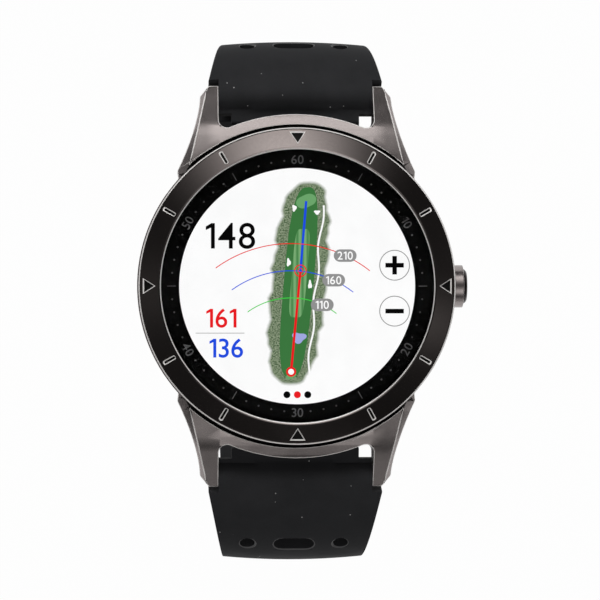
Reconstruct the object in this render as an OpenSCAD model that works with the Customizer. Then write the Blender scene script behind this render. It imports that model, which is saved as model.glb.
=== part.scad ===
// Golf GPS watch: a round case with four lugs, a fixed conical bezel, one push button at
// 3 o'clock and a two-piece rubber strap with a pin buckle, shown open.
// +Z points out of the dial, +Y to 12 o'clock, +X to the button. The case back is at z = 0.

/* [Case] */
// Width of the case across its flanks
case_w = 46; // [42:0.5:50]
// Height of the case's lower rim above the back face
case_base_z = 1; // [0.8:0.1:1.4]
// Height of the case's top seat, which carries the bezel
case_top_z = 9.2; // [9:0.1:10]
// Height of the flank's upper edge, the floor of the groove under the bezel
flank_top_z = 8.5; // [8.2:0.1:8.7]
// Reach of the shoulder past the flank at 12 and 6 o'clock
shoulder_out = 1.9; // [1.2:0.1:2.2]
// Width of the shadow groove between the bezel and the shoulder
groove_w = 0.55; // [0.3:0.05:0.8]

/* [Lugs] */
// Distance from lug tip to lug tip
lug_span = 58.4; // [57:0.2:62]
// Free width between two lugs
lug_gap = 22.5; // [21:0.5:23]
// Width over two lugs at their tips
lug_tip_w = 27.8; // [27:0.2:30]
// Width over two lugs where they leave the flank
lug_root_w = 34.4; // [32:0.4:36]
// Height of the strap bar's axis
hinge_z = 3.5; // [3.2:0.1:4]
// Radius of a lug's rounded tip about the strap bar
lug_tip_r = 1.9; // [1.6:0.1:2]
// Radius of the corner between a lug and the shoulder
lug_fillet_r = 1.2; // [0.6:0.1:1.6]

/* [Bezel and dial] */
// Width of the bezel ring
bezel_w = 3.25; // [2.8:0.05:3.6]
// Height of the bezel over its seat
bezel_h = 2.8; // [2.6:0.1:3.2]
// Drop of the bezel's cone from its inner to its outer edge
bezel_drop = 1.35; // [0.9:0.05:1.6]
// Depth of the marks cut in the bezel
mark_depth = 0.3; // [0.15:0.05:0.4]
// Width of the printed ring around the display
chapter_w = 2.6; // [2.2:0.1:3]
// Thickness of the cover glass
glass_t = 1.3; // [1:0.1:1.4]
// Thickness of the display panel
display_t = 1.55; // [1.2:0.05:1.6]

/* [Button] */
// Height of the button's axis
button_z = 4.8; // [4.6:0.1:5]
// Diameter of the button's cap
button_d = 5; // [4.4:0.1:5.4]
// Thickness of the button's cap
button_cap_t = 1.8; // [1.6:0.1:2]
// Travel of the button
button_travel = 0.6; // [0.3:0.05:0.7]
// Diameter of the button's stem
button_stem_d = 1.6; // [1.4:0.05:1.7]
// Reach of the collar past the flank
collar_out = 1.3; // [1:0.1:1.5]

/* [Strap] */
// Distance along the upper half from its bar to the buckle's bar
upper_len = 75; // [72:1:80]
// Distance along the lower half from its bar to its tip
lower_len = 115; // [110:1:120]
// Width of the strap beyond its taper
strap_w = 20; // [19:0.25:21]
// Width that the taper starts from at the lugs
strap_root_w = 26.4; // [25.5:0.2:27]
// Thickness of the strap
strap_t = 2.9; // [2.5:0.1:3.1]
// Thickness of the strap beside its bar
strap_root_t = 3.9; // [3.5:0.1:4.1]
// Diameter of the bead around the strap bar
strap_bead_d = 4.4; // [4.3:0.1:4.6]
// Width of the long vent
vent_w = 6; // [4:0.25:7]
// Length of the long vent along the strap
vent_l = 2.6; // [2:0.1:3]
// Diameter of the round vents and of the adjusting holes
hole_d = 2.2; // [1.8:0.1:2.5]
// Distance from the first row of vents to the strap bar
vent_start = 11.5; // [11:0.1:14]
// Distance between rows of vents
vent_pitch = 12; // [10:0.5:13]
// Distance between adjusting holes
hole_pitch = 6.5; // [6:0.1:7]

/* [Strap bars] */
// Diameter of a strap bar's tube
bar_d = 1.8; // [1.7:0.05:2]
// Diameter of a strap bar's tips
tip_d = 0.9; // [0.8:0.05:1]
// Depth of a tip in its lug
tip_depth = 1.1; // [0.8:0.05:1.2]

/* [Buckle and loops] */
// Length of the buckle's frame in front of its bar
buckle_len = 12; // [10.5:0.25:14]
// Thickness of the frame's arms
arm_t = 1.9; // [1.6:0.1:2.4]
// Length of the frame's front rail
rail_l = 2.4; // [1.8:0.1:3]
// Diameter of the buckle's bar
buckle_bar_d = 1.4; // [1.2:0.05:1.5]
// Width of the tang
tang_w = 2.2; // [1.8:0.1:2.6]
// Angle at which the open frame hangs off the strap's end
buckle_lean = 21; // [10:1:25]
// Length of a loop along the strap
keeper_l = 5; // [4:0.25:5.5]
// Wall of a loop
keeper_t = 1.2; // [0.9:0.1:1.5]
// Distance from the buckle's bar to the fixed loop
keeper_back = 13.6; // [13:0.1:15]
// Distance between the two loops
keeper_apart = 11; // [10.5:0.25:12]

/* [Inside] */
// Width of the battery
battery_w = 22; // [18:0.5:23]
// Length of the battery
battery_l = 18; // [15:0.5:18.5]
// Thickness of the battery
battery_t = 3.2; // [2.6:0.1:3.4]
// Thickness of the main board
board_t = 0.8; // [0.6:0.05:0.9]
// Diameter of the vibration motor
motor_d = 7; // [6:0.1:7.2]
// Thickness of the vibration motor
motor_t = 2.6; // [2:0.1:2.7]
// Distance between charging contacts
contact_pitch = 2.5; // [2.2:0.05:2.6]

/* [Clearances] */
// Gap between pieces that are set against each other
seat_gap = 0.04; // [0.02:0.01:0.06]
// Radial gap of a pin that turns or slides in its bore
run_gap = 0.05; // [0.03:0.01:0.08]
// Gap beside a piece that moves
side_gap = 0.3; // [0.2:0.05:0.4]

/* [Hidden] */
$fn = 96;
pin_fn = 32;
eps = 0.5;
case_r = case_w / 2;
shoulder_r = case_r + shoulder_out;
lug_in_x = lug_gap / 2;
lug_tip_y = lug_span / 2;
hinge_y = lug_tip_y - lug_tip_r;

// Stack from the bezel's edge inward
bezel_out_r = case_r - 0.2;
bezel_in_r = bezel_out_r - bezel_w;
bezel_z = case_top_z + seat_gap;
bezel_top_z = bezel_z + bezel_h;
skirt_r = bezel_in_r + 0.95;
chapter_out_r = bezel_in_r - 0.1;
chapter_in_r = bezel_in_r - chapter_w;
panel_r = chapter_in_r + 0.7;
frame_bore_r = panel_r + 0.1;
cavity_r = frame_bore_r + 0.45;
frame_r = cavity_r - 0.1;
frame_in_r = frame_r - 0.9;

// Stack from the back upward
recess_z = case_base_z + 0.9;
cover_top_z = recess_z - seat_gap;
ledge_z = case_top_z - 1.3;
skirt_z = ledge_z + 0.35;
glass_top_z = bezel_top_z - 0.35;
glass_z = glass_top_z - glass_t;
chapter_t = 0.3;
chapter_z = glass_z - seat_gap - chapter_t;
panel_top_z = chapter_z - seat_gap;
panel_z = panel_top_z - display_t;
frame_top_z = panel_top_z;
board_z = ledge_z - 1.25;
board_top_z = board_z + board_t;
plate_top_z = board_z - seat_gap;
plate_z = plate_top_z - 0.5;
battery_z = cover_top_z + 0.1;

// The inside is drawn for a chassis of this inner radius, and follows the real one
chassis_ref_r = 17.2;
fit = frame_in_r / chassis_ref_r;
battery_x = -13 * fit;
motor_r = motor_d / 2 * fit;
motor_y = frame_in_r - 0.6 - motor_r;
contact_y = -12.6 * fit;
contact_flex_z = cover_top_z + 1.1;
flex_slot_w = 1.2;
cover_r = bezel_in_r + 1.45;
back_screw_r = cover_r - 1.1;
back_flat_r = frame_in_r - 0.6;
board_r = frame_in_r - 0.6;
board_screw_r = board_r - 1.6;
screen_flex_y = -board_r + 1.2;
screen_flex_end_y = screen_flex_y + 3.4 * fit;

// Stack along the button
collar_r = button_d / 2 + 0.6;
collar_x = case_r + collar_out;
cap_well_r = button_d / 2 + side_gap;
cap_x = case_r + 0.05;
bush_x = cap_x - button_travel - run_gap;
bush_in_x = cavity_r + run_gap;
bush_r = 2;
stem_r = button_stem_d / 2;
spring_well_r = stem_r + 0.9;
spring_well_x = bush_x - 2;
clip_x = bush_in_x - run_gap - 0.3;
stem_in_x = clip_x - 0.75;
switch_x = stem_in_x - button_travel - run_gap;

// Strap centre lines: each bend is a length and the heading at its end
upper_start = -15;
upper_turn_l = 12.8;
upper_sweep_l = 32;
upper_bent = upper_turn_l + upper_sweep_l;
upper_bends = [[upper_turn_l, -85], [upper_sweep_l, -111], [upper_len, -111]];
lower_start = -8;
lower_turn_l = 13.3;
lower_drop_l = 6.3;
lower_sweep_l = 30;
lower_tail_l = 80;
lower_bends = [[lower_turn_l, -60], [lower_drop_l, -90], [lower_sweep_l, -114], [lower_tail_l, -124]];
taper_l = 27;
end_bead_x = strap_w / 2 + 0.1;
strap_step = 2.4;
root_l = 14;
bead_r = strap_bead_d / 2;
bar_r = bar_d / 2;
bar_bore_r = bar_r - 0.25;
tip_r = tip_d / 2;
plunger_r = bar_bore_r - run_gap;
strap_root_x = lug_in_x - 0.2;
bar_x = strap_root_x - 0.1;
bar_wall_x = bar_x - 0.6;
tip_x = lug_in_x + tip_depth;
tip_travel = tip_depth + 0.1;
lever_x = bar_wall_x - 1.7;
lever_r = 0.35;
lever_reach = 2.8;
plunger_x = lever_x - 1.8;
bar_spring_x = 1.5;
vent_side_x = 6.9;
first_hole = 58;
holes = 8;

// Buckle
buckle_bar_r = buckle_bar_d / 2;
end_bead_r = strap_t / 2 + 0.25;
arm_x = strap_w / 2 + side_gap;
arm_out_x = arm_x + arm_t;
frame_low = -1.3;
rail_high = 0.6;
tang_low = rail_high + run_gap;
tang_t = 0.8;
tang_eye_r = tang_low + tang_t + 0.08;
slot_x = tang_w / 2 + 0.6;
slot_l = 4.4;
keeper_fixed_s = upper_len - keeper_back;
keeper_free_s = keeper_fixed_s - keeper_apart;
keeper_travel = 4.5;
keeper_in_w = strap_w + 2 * side_gap;
keeper_in_low = -strap_t / 2 - side_gap;
keeper_in_high = strap_t * 1.5 + 2 * side_gap;

// Outline helpers
function arc(x, y, r, a0, a1, n) =
  [for (i = [0 : n]) [x + r * cos(a0 + (a1 - a0) * i / n), y + r * sin(a0 + (a1 - a0) * i / n)]];

function rounded_rect(w, h, r) = concat(
  arc(w / 2 - r, h / 2 - r, r, 0, 90, 4),
  arc(r - w / 2, h / 2 - r, r, 90, 180, 4),
  arc(r - w / 2, r - h / 2, r, 180, 270, 4),
  arc(w / 2 - r, r - h / 2, r, 270, 360, 4));

function slot(w, h) = concat(
  arc(w / 2 - h / 2, 0, h / 2, -90, 90, 10),
  arc(h / 2 - w / 2, 0, h / 2, 90, 270, 10));

// Centre line of a strap half: its points, and [y, z, heading] at a distance from the bar
function heading_at(s, start, bends, i = 0) =
  i >= len(bends) ? start :
  s <= bends[i][0] ? start + (bends[i][1] - start) * s / bends[i][0] :
  heading_at(s - bends[i][0], bends[i][1], bends, i + 1);

function path(s, n, start, bends) =
  let (step = s / n)
  [for (
    i = 0, y = hinge_y, z = hinge_z;
    i <= n;
    y = y + step * cos(heading_at((i + 0.5) * step, start, bends)),
    z = z + step * sin(heading_at((i + 0.5) * step, start, bends)),
    i = i + 1)
    [y, z]];

function spot(s, start, bends) =
  let (
    n = max(1, ceil(s * 2)),
    end = path(s, n, start, bends)[n])
  [end[0], end[1], heading_at(s, start, bends)];

function half_thick(s) =
  strap_t / 2 + (strap_root_t - strap_t) / 2 * pow(max(0, 1 - s / root_l), 2);

function half_wide(s) =
  strap_w / 2 + (strap_root_w - strap_w) / 2 * pow(max(0, 1 - s / taper_l), 2);

function beside(p, d) = [p[0] - d * sin(p[2]), p[1] + d * cos(p[2])];

// Shape helpers
module rod_x(r, x0, x1) {
  translate([x0, 0, 0])
    rotate([0, 90, 0])
      cylinder(r = r, h = x1 - x0, $fn = pin_fn);
}

module disc(r, z0, z1) {
  translate([0, 0, z0])
    cylinder(r = r, h = z1 - z0);
}

module ring(r_in, r_out, z0, z1) {
  difference() {
    disc(r_out, z0, z1);
    disc(r_in, z0 - eps, z1 + eps);
  }
}

module box(x0, x1, y0, y1, z0, z1) {
  translate([x0, y0, z0])
    cube([x1 - x0, y1 - y0, z1 - z0]);
}

module four(r, turn) {
  for (i = [0 : 3])
    rotate([0, 0, turn + 90 * i])
      translate([r, 0, 0])
        children();
}

module coil(mean_r, wire_r, length, turns) {
  rings = ceil(turns * 10);
  sides = 6;
  points = [for (i = [0 : rings], j = [0 : sides - 1])
    let (
      a = 360 * turns * i / rings,
      r = mean_r + wire_r * cos(360 * j / sides))
    [r * cos(a), r * sin(a), wire_r + (length - 2 * wire_r) * i / rings + wire_r * sin(360 * j / sides)]];
  walls = [for (i = [0 : rings - 1], j = [0 : sides - 1])
    let (
      a = i * sides + j,
      b = i * sides + (j + 1) % sides)
    each [[a, b + sides, b], [a, a + sides, b + sides]]];
  start_cap = [for (j = [1 : sides - 2]) [0, j, j + 1]];
  last = rings * sides;
  end_cap = [for (j = [1 : sides - 2]) [last, last + j + 1, last + j]];
  polyhedron(points, concat(walls, start_cap, end_cap));
}

// Case
module lug_plan() {
  cy = sqrt(pow(shoulder_r + lug_fillet_r, 2) - pow(lug_in_x - lug_fillet_r, 2));
  cx = lug_in_x - lug_fillet_r;
  edge_n = 8;
  root_y = 16.6;
  tip_y = lug_tip_y - 1.6;
  half = lug_tip_w / 2;
  flare = (lug_root_w - lug_tip_w) / 2;
  polygon(concat(
    [[cx * 0.8, cy * 0.8]],
    arc(cx, cy, lug_fillet_r, 180 + atan2(cy, cx), 360, 8),
    [[lug_in_x, lug_tip_y + eps], [half - 1.3, lug_tip_y + eps], [half - 1.3, lug_tip_y]],
    [for (i = [0 : edge_n])
      [half + flare * pow(i / edge_n, 1.6), tip_y + (root_y - tip_y) * i / edge_n]],
    [[case_r * 0.72, case_r * 0.5]]));
}

module lug_side() {
  start_y = 15;
  tip_a = 55;
  end_y = hinge_y + lug_tip_r * cos(tip_a);
  end_z = hinge_z + lug_tip_r * sin(tip_a);
  n = 10;
  polygon(concat(
    [[0, case_base_z], [case_r - 2, case_base_z]],
    arc(hinge_y, hinge_z, lug_tip_r, -95, tip_a, 14),
    [for (i = [1 : n])
      [end_y + (start_y - end_y) * i / n, case_top_z - (case_top_z - end_z) * pow(1 - i / n, 2)]],
    [[0, case_top_z]]));
}

module shoulder() {
  shoulder_z = hinge_z + 1.7;
  intersection() {
    ring(case_r - 2, shoulder_r, shoulder_z, case_top_z);
    box(-lug_in_x - 1, lug_in_x + 1, case_r / 2, shoulder_r + 1, 0, case_top_z + 1);
    rotate([90, 0, 90])
      translate([0, 0, -case_r])
        linear_extrude(case_w)
          lug_side();
  }
}

module lug_pair() {
  for (side = [0, 1])
    mirror([side, 0, 0])
      intersection() {
        translate([0, 0, case_base_z - 1])
          linear_extrude(case_top_z)
            lug_plan();
        rotate([90, 0, 90])
          linear_extrude(case_r)
            lug_side();
      }
}

module case_body() {
  color([0.33, 0.31, 0.31])
    difference() {
      union() {
        disc(case_r, case_base_z, flank_top_z);
        disc(bezel_out_r, case_base_z, case_top_z);
        for (end = [0, 1])
          mirror([0, end, 0]) {
            lug_pair();
            shoulder();
          }
        translate([0, 0, button_z])
          rod_x(collar_r, case_r - 3, collar_x);
      }
      ring(bezel_out_r, case_r + groove_w - 0.2, flank_top_z, case_top_z + eps);
      disc(cavity_r, case_base_z - eps, case_top_z + eps);
      disc(skirt_r + seat_gap, ledge_z, case_top_z + eps);
      disc(cover_r + 0.1, case_base_z - eps, recess_z);
      ring(cavity_r + 0.35, cavity_r + 0.95, recess_z - eps, recess_z + 0.5);
      four(back_screw_r, 45)
        disc(0.62, recess_z - eps, recess_z + 3);
      translate([0, 0, button_z]) {
        rod_x(cap_well_r, bush_x, collar_x + eps);
        rod_x(bush_r + 0.02, cavity_r - 1, bush_x + eps);
      }
      for (end = [-1, 1])
        translate([0, end * hinge_y, hinge_z])
          rod_x(tip_r + run_gap, -tip_x - 0.2, tip_x + 0.2);
    }
}

// Bezel, glass and dial
module mark_seat(turn) {
  outer_z = bezel_top_z - bezel_drop;
  slope = atan2(bezel_drop, bezel_w - 0.7);
  mid_r = (bezel_in_r + bezel_out_r) / 2;
  rotate([0, 0, turn])
    translate([mid_r, 0, (outer_z + bezel_top_z) / 2])
      rotate([0, slope, 0])
        translate([0, 0, -mark_depth])
          linear_extrude(mark_depth + 1)
            children();
}

module bezel_ring() {
  outer_z = bezel_top_z - bezel_drop;
  mark_l = bezel_w - 1.1;
  mark_w = 0.5;
  arrow_w = 2;
  color([0.16, 0.15, 0.15])
    difference() {
      rotate_extrude()
        polygon([
          [bezel_in_r, skirt_z],
          [skirt_r, skirt_z],
          [skirt_r, bezel_z],
          [bezel_out_r - 0.3, bezel_z],
          [bezel_out_r, bezel_z + 0.3],
          [bezel_out_r, outer_z - 0.35],
          [bezel_out_r - 0.35, outer_z],
          [bezel_in_r + 0.35, bezel_top_z],
          [bezel_in_r, bezel_top_z - 0.25]]);
      for (hour = [0 : 11])
        if (hour % 3 == 0)
          mark_seat(30 * hour)
            polygon([[-mark_l * 0.33, 0], [mark_l * 0.52, -arrow_w / 2], [mark_l * 0.52, arrow_w / 2]]);
        else
          mark_seat(30 * hour)
            polygon(slot(mark_l, mark_w));
    }
}

module bezel_seal() {
  color([0.08, 0.08, 0.08])
    ring(bezel_in_r + 0.2, skirt_r - 0.05, ledge_z + seat_gap, skirt_z - seat_gap);
}

module cover_glass() {
  r = bezel_in_r - 0.05;
  edge = 0.25;
  color([0.75, 0.8, 0.82, 0.4])
    rotate_extrude()
      polygon([
        [0, glass_z],
        [r, glass_z],
        [r, glass_top_z - edge],
        [r - edge, glass_top_z],
        [0, glass_top_z]]);
}

module chapter_ring() {
  color([0.06, 0.06, 0.06])
    ring(chapter_in_r, chapter_out_r, chapter_z, chapter_z + chapter_t);
}

module display_panel() {
  color([0.92, 0.93, 0.93])
    disc(panel_r, panel_z, panel_top_z);
}

module display_flex() {
  low = board_top_z + 0.02;
  y0 = screen_flex_y;
  color([0.75, 0.45, 0.1])
    union() {
      box(-4, 4, y0, screen_flex_end_y, low, low + 0.15);
      box(-4, 4, y0, y0 + 0.15, low, panel_z - 0.02);
    }
}

// Chassis
module inner_frame() {
  lip_z = ledge_z + 0.02;
  color([0.2, 0.2, 0.21])
    difference() {
      union() {
        disc(frame_r, cover_top_z + 0.3, lip_z + 0.3);
        disc(bezel_in_r - 0.1, lip_z, frame_top_z);
      }
      disc(frame_in_r, cover_top_z, plate_z);
      disc(frame_in_r, plate_top_z, panel_z);
      disc(frame_bore_r, panel_z - 0.02, frame_top_z + eps);
      antenna_groove(0);
      four(board_screw_r, 45)
        disc(0.6, plate_z - eps, plate_top_z + eps);
      battery_slot(plate_z - eps, plate_top_z + eps);
      box(-3.2, 3.2, contact_y - 2.2, contact_y - 1.2, plate_z - eps, plate_top_z + eps);
      box(switch_x - 2.2, case_r, -2.6, 2.6, cover_top_z + 0.8, plate_top_z + eps);
    }
}

module antenna_groove(gap) {
  rotate([0, 0, -10 + gap])
    rotate_extrude(angle = 200 - 2 * gap)
      translate([frame_bore_r + 0.5 + gap * 0.06, frame_top_z - 0.3 + gap * 0.03])
        square([0.8 - gap * 0.12, gap > 0 ? 0.24 : 1]);
}

module gps_antenna() {
  color([0.85, 0.68, 0.35])
    antenna_groove(1);
}

module main_board() {
  color([0.05, 0.3, 0.16])
    difference() {
      disc(board_r, board_z, board_top_z);
      four(board_screw_r, 45)
        disc(0.7, board_z - eps, board_top_z + eps);
      battery_slot(board_z - eps, board_top_z + eps);
    }
}

module battery_slot(z0, z1) {
  box(battery_x - 0.2 - flex_slot_w, battery_x - 0.2, -2.6, 2.6, z0, z1);
}

module chip(x0, x1, y0, y1, high) {
  low = board_top_z + 0.01;
  box(x0 * fit, x1 * fit, y0 * fit, y1 * fit, low, low + high);
}

module board_chips() {
  socket_y = screen_flex_end_y / fit + 0.3;
  color([0.12, 0.12, 0.13])
    union() {
      chip(-4, 3, -2, 5, 0.65);
      chip(5, 10, 0, 6, 0.6);
      chip(-9.5, -5.2, -5, 0.5, 0.55);
      chip(4.5, 10, -7.5, -2, 0.65);
      chip(-3, 3, 8, 12, 0.6);
      chip(-4.2, 4.2, socket_y, socket_y + 1.5, 0.6);
      chip(-9.4, -7.6, 2.4, 6.5, 0.6);
    }
}

module board_screws() {
  color([0.7, 0.7, 0.72])
    four(board_screw_r, 45)
      difference() {
        union() {
          disc(1.05, board_top_z + 0.01, board_top_z + 0.55);
          disc(0.57, plate_z - 0.6, board_top_z + 0.3);
        }
        box(-0.8, 0.8, -0.12, 0.12, board_top_z + 0.35, board_top_z + 1);
        box(-0.12, 0.12, -0.8, 0.8, board_top_z + 0.35, board_top_z + 1);
      }
}

module battery() {
  color([0.55, 0.57, 0.6])
    translate([battery_x + battery_w * fit / 2, 0, battery_z])
      linear_extrude(battery_t)
        polygon(rounded_rect(battery_w * fit, battery_l * fit, 1.2));
}

module battery_flex() {
  x0 = battery_x - 0.75;
  foot_z = battery_z + battery_t / 2;
  color([0.75, 0.45, 0.1])
    union() {
      box(x0, x0 + 0.15, -2, 2, foot_z, board_top_z + 0.17);
      box(x0, battery_x - 0.03, -2, 2, foot_z, foot_z + 0.15);
      box(x0, x0 + 3.8, -2, 2, board_top_z + 0.02, board_top_z + 0.17);
    }
}

module vibration_motor() {
  color([0.62, 0.63, 0.65])
    translate([0, motor_y, 0])
      disc(motor_r, plate_z - seat_gap - motor_t, plate_z - seat_gap);
}

// Back
module back_cover() {
  color([0.14, 0.14, 0.15])
    difference() {
      union() {
        disc(cover_r, case_base_z, cover_top_z);
        translate([0, 0, 0.4])
          cylinder(r1 = back_flat_r + 0.4, r2 = back_flat_r + 1, h = case_base_z + 0.2 - 0.4);
        cylinder(r1 = back_flat_r, r2 = back_flat_r + 0.4, h = 0.4);
      }
      four(back_screw_r, 45) {
        disc(0.7, case_base_z - eps, cover_top_z + eps);
        disc(1.02, case_base_z - eps, case_base_z + 0.45);
      }
      contact_hole(0.05, -eps, cover_top_z + eps);
    }
}

module contact_hole(gap, z0, z1) {
  w = 3 * contact_pitch + 3.4;
  translate([0, contact_y, z0])
    linear_extrude(z1 - z0)
      polygon(slot(w + 2 * gap, 3.4 + 2 * gap));
}

module back_seal() {
  color([0.08, 0.08, 0.08])
    ring(cavity_r + 0.4, cavity_r + 0.9, cover_top_z + 0.02, recess_z + 0.45);
}

module back_screws() {
  color([0.6, 0.6, 0.62])
    four(back_screw_r, 45)
      difference() {
        union() {
          disc(0.95, case_base_z + 0.05, case_base_z + 0.43);
          disc(0.58, case_base_z + 0.2, recess_z + 2.7);
        }
        box(-0.7, 0.7, -0.12, 0.12, 0, case_base_z + 0.25);
        box(-0.12, 0.12, -0.7, 0.7, 0, case_base_z + 0.25);
      }
}

module contact_block() {
  color([0.07, 0.07, 0.07])
    difference() {
      contact_hole(0, 0.06, cover_top_z + 0.4);
      for (i = [-1.5 : 1.5])
        translate([i * contact_pitch, contact_y, 0])
          disc(0.82, -eps, cover_top_z + 1);
    }
}

module charging_contacts() {
  color([0.85, 0.68, 0.35])
    for (i = [-1.5 : 1.5])
      translate([i * contact_pitch, contact_y, 0])
        disc(0.8, 0.03, contact_flex_z - 0.02);
}

module charging_flex() {
  wide = 1.5 * contact_pitch + 0.9;
  riser_y = contact_y - 1.8;
  color([0.75, 0.45, 0.1])
    union() {
      box(-wide, wide, riser_y, contact_y + 1, contact_flex_z, contact_flex_z + 0.15);
      box(-2.5, 2.5, riser_y, riser_y + 0.15, contact_flex_z, board_z - 0.02);
    }
}

// Button
module button_bush() {
  color([0.72, 0.6, 0.35])
    translate([0, 0, button_z])
      difference() {
        rod_x(bush_r, bush_in_x, bush_x);
        rod_x(stem_r + run_gap, bush_in_x - eps, bush_x + eps);
        rod_x(spring_well_r, spring_well_x, bush_x + eps);
      }
}

module tact_switch() {
  color([0.2, 0.2, 0.22])
    union() {
      box(switch_x - 1.6, switch_x - 0.3, -1.8, 1.8, button_z - 1.6, board_z - 0.02);
      translate([0, 0, button_z])
        rod_x(0.7, switch_x - 0.8, switch_x);
    }
}

module button_cap() {
  edge = 0.3;
  r = button_d / 2;
  color([0.24, 0.23, 0.23])
    translate([cap_x, 0, button_z])
      rotate([0, 90, 0])
        difference() {
          rotate_extrude()
            polygon([
              [0, 0],
              [r, 0],
              [r, button_cap_t - edge],
              [r - edge, button_cap_t],
              [0, button_cap_t]]);
          translate([0, 0, -eps])
            cylinder(r = stem_r - 0.17, h = eps + 0.6, $fn = pin_fn);
        }
}

module button_stem() {
  groove_x = bush_in_x + 0.7;
  color([0.7, 0.7, 0.72])
    translate([0, 0, button_z])
      difference() {
        union() {
          rod_x(stem_r, stem_in_x, cap_x - 0.01);
          rod_x(stem_r - 0.2, cap_x - 0.5, cap_x + 0.55);
        }
        difference() {
          rod_x(stem_r + 1, groove_x, groove_x + 0.5);
          rod_x(stem_r - 0.32, groove_x - 1, groove_x + 1.5);
        }
        difference() {
          rod_x(stem_r + 1, clip_x - 0.03, clip_x + 0.33);
          rod_x(stem_r - 0.3, clip_x - 1, clip_x + 1.3);
        }
      }
}

module button_clip() {
  color([0.55, 0.56, 0.6])
    translate([0, 0, button_z])
      difference() {
        rod_x(stem_r + 0.6, clip_x, clip_x + 0.3);
        rod_x(stem_r - 0.27, clip_x - eps, clip_x + 0.3 + eps);
        box(clip_x - eps, clip_x + 1, -0.42, 0.42, -3, 0);
      }
}

module button_o_ring() {
  wire_r = 0.15;
  color([0.07, 0.07, 0.07])
    translate([bush_in_x + 0.95, 0, button_z])
      rotate([0, 90, 0])
        rotate_extrude()
          translate([stem_r - 0.13, 0])
            circle(r = wire_r, $fn = 24);
}

module button_spring() {
  color([0.75, 0.75, 0.77])
    translate([spring_well_x + 0.03, 0, button_z])
      rotate([0, 90, 0])
        coil(stem_r + 0.45, 0.14, cap_x - spring_well_x - 0.06, 4.5);
}

// Strap
module strap_blank(start, bends, bent, length) {
  n = ceil(bent / strap_step);
  stations = concat([for (i = [0 : n]) bent * i / n], length > bent ? [length] : []);
  points = [for (s = stations) spot(s, start, bends)];
  last = len(stations) - 1;
  outer = [for (i = [0 : last]) beside(points[i], half_thick(stations[i]))];
  inner = [for (i = [last : -1 : 0]) beside(points[i], -half_thick(stations[i]))];
  tapered = [for (i = [0 : last]) if (stations[i] < taper_l) [half_wide(stations[i]), points[i][1]]];
  even = spot(taper_l, start, bends);
  right = concat(
    [[half_wide(0), hinge_z + bead_r + 1]],
    tapered,
    [[strap_w / 2, even[1]], [strap_w / 2, points[last][1] - 5]]);
  left = [for (i = [len(right) - 1 : -1 : 0]) [-right[i][0], right[i][1]]];
  difference() {
    intersection() {
      union() {
        rotate([90, 0, 90])
          translate([0, 0, -case_r])
            linear_extrude(case_w)
              polygon(concat(outer, inner));
        translate([0, hinge_y, hinge_z])
          rod_x(bead_r, -strap_root_x - 1, strap_root_x + 1);
      }
      rotate([90, 0, 0])
        translate([0, 0, -lug_span * 2])
          linear_extrude(lug_span * 4)
            polygon(concat(right, left));
    }
    at_hinge(start) {
      for (side = [0, 1])
        mirror([side, 0, 0])
          box(strap_root_x, case_r, -5, lug_tip_r + 0.45, -5, 5);
      rod_x(bar_r + 0.05, -case_r, case_r);
      box(lever_x - tip_travel - 1, lever_x + 1, -1.4, 1.4, -5, -0.5);
    }
  }
}

module at_hinge(start) {
  translate([0, hinge_y, hinge_z])
    rotate([start, 0, 0])
      children();
}

module on_strap(s, start, bends) {
  p = spot(s, start, bends);
  translate([0, p[0], p[1]])
    rotate([p[2], 0, 0])
      children();
}

module vent_row() {
  translate([0, 0, -strap_root_t])
    linear_extrude(strap_root_t * 2)
      polygon(slot(vent_w, vent_l));
  for (side = [-1, 1])
    translate([side * vent_side_x, 0, -strap_root_t])
      cylinder(d = hole_d, h = strap_root_t * 2, $fn = pin_fn);
}

module on_upper(s) {
  on_strap(s, upper_start, upper_bends)
    children();
}

module on_lower(s) {
  mirror([0, 1, 0])
    on_strap(s, lower_start, lower_bends)
      children();
}

module strap_upper() {
  color([0.1, 0.1, 0.11])
    difference() {
      union() {
        strap_blank(upper_start, upper_bends, upper_bent, upper_len);
        on_upper(upper_len)
          rod_x(end_bead_r, -end_bead_x, end_bead_x);
      }
      for (i = [0 : 2])
        on_upper(vent_start + i * vent_pitch)
          vent_row();
      on_upper(upper_len) {
        rod_x(buckle_bar_r + run_gap, -strap_w, strap_w);
        box(-slot_x, slot_x, -slot_l, 5, -5, 5);
      }
    }
}

module strap_lower() {
  tip_r2 = strap_w / 2;
  color([0.1, 0.1, 0.11])
    difference() {
      mirror([0, 1, 0])
        strap_blank(lower_start, lower_bends, lower_len, lower_len);
      for (i = [0 : 2])
        on_lower(vent_start + i * vent_pitch)
          vent_row();
      for (i = [0 : holes - 1])
        on_lower(first_hole + i * hole_pitch)
          translate([0, 0, -strap_t])
            cylinder(d = hole_d, h = strap_t * 2, $fn = pin_fn);
      on_lower(lower_len - tip_r2)
        translate([0, 0, -strap_t])
          linear_extrude(strap_t * 2)
            polygon(concat(
              [[tip_r2 + 1, 0], [tip_r2 + 1, tip_r2 + 3], [-tip_r2 - 1, tip_r2 + 3], [-tip_r2 - 1, 0]],
              arc(0, -0.01, tip_r2 - 0.01, 180, 0, 24)));
    }
}

module bar_tube() {
  color([0.7, 0.7, 0.72])
    difference() {
      union() {
        rod_x(bar_r, -bar_x, bar_x);
        rod_x(tip_r, -tip_x, -bar_x + 1);
      }
      rod_x(bar_bore_r, bar_spring_x, bar_wall_x);
      rod_x(tip_r + run_gap, bar_wall_x - eps, bar_x + eps);
      box(lever_x - tip_travel - lever_r - 0.1, lever_x + lever_r + 0.1, -0.45, 0.45, -bar_d, 0);
    }
}

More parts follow.
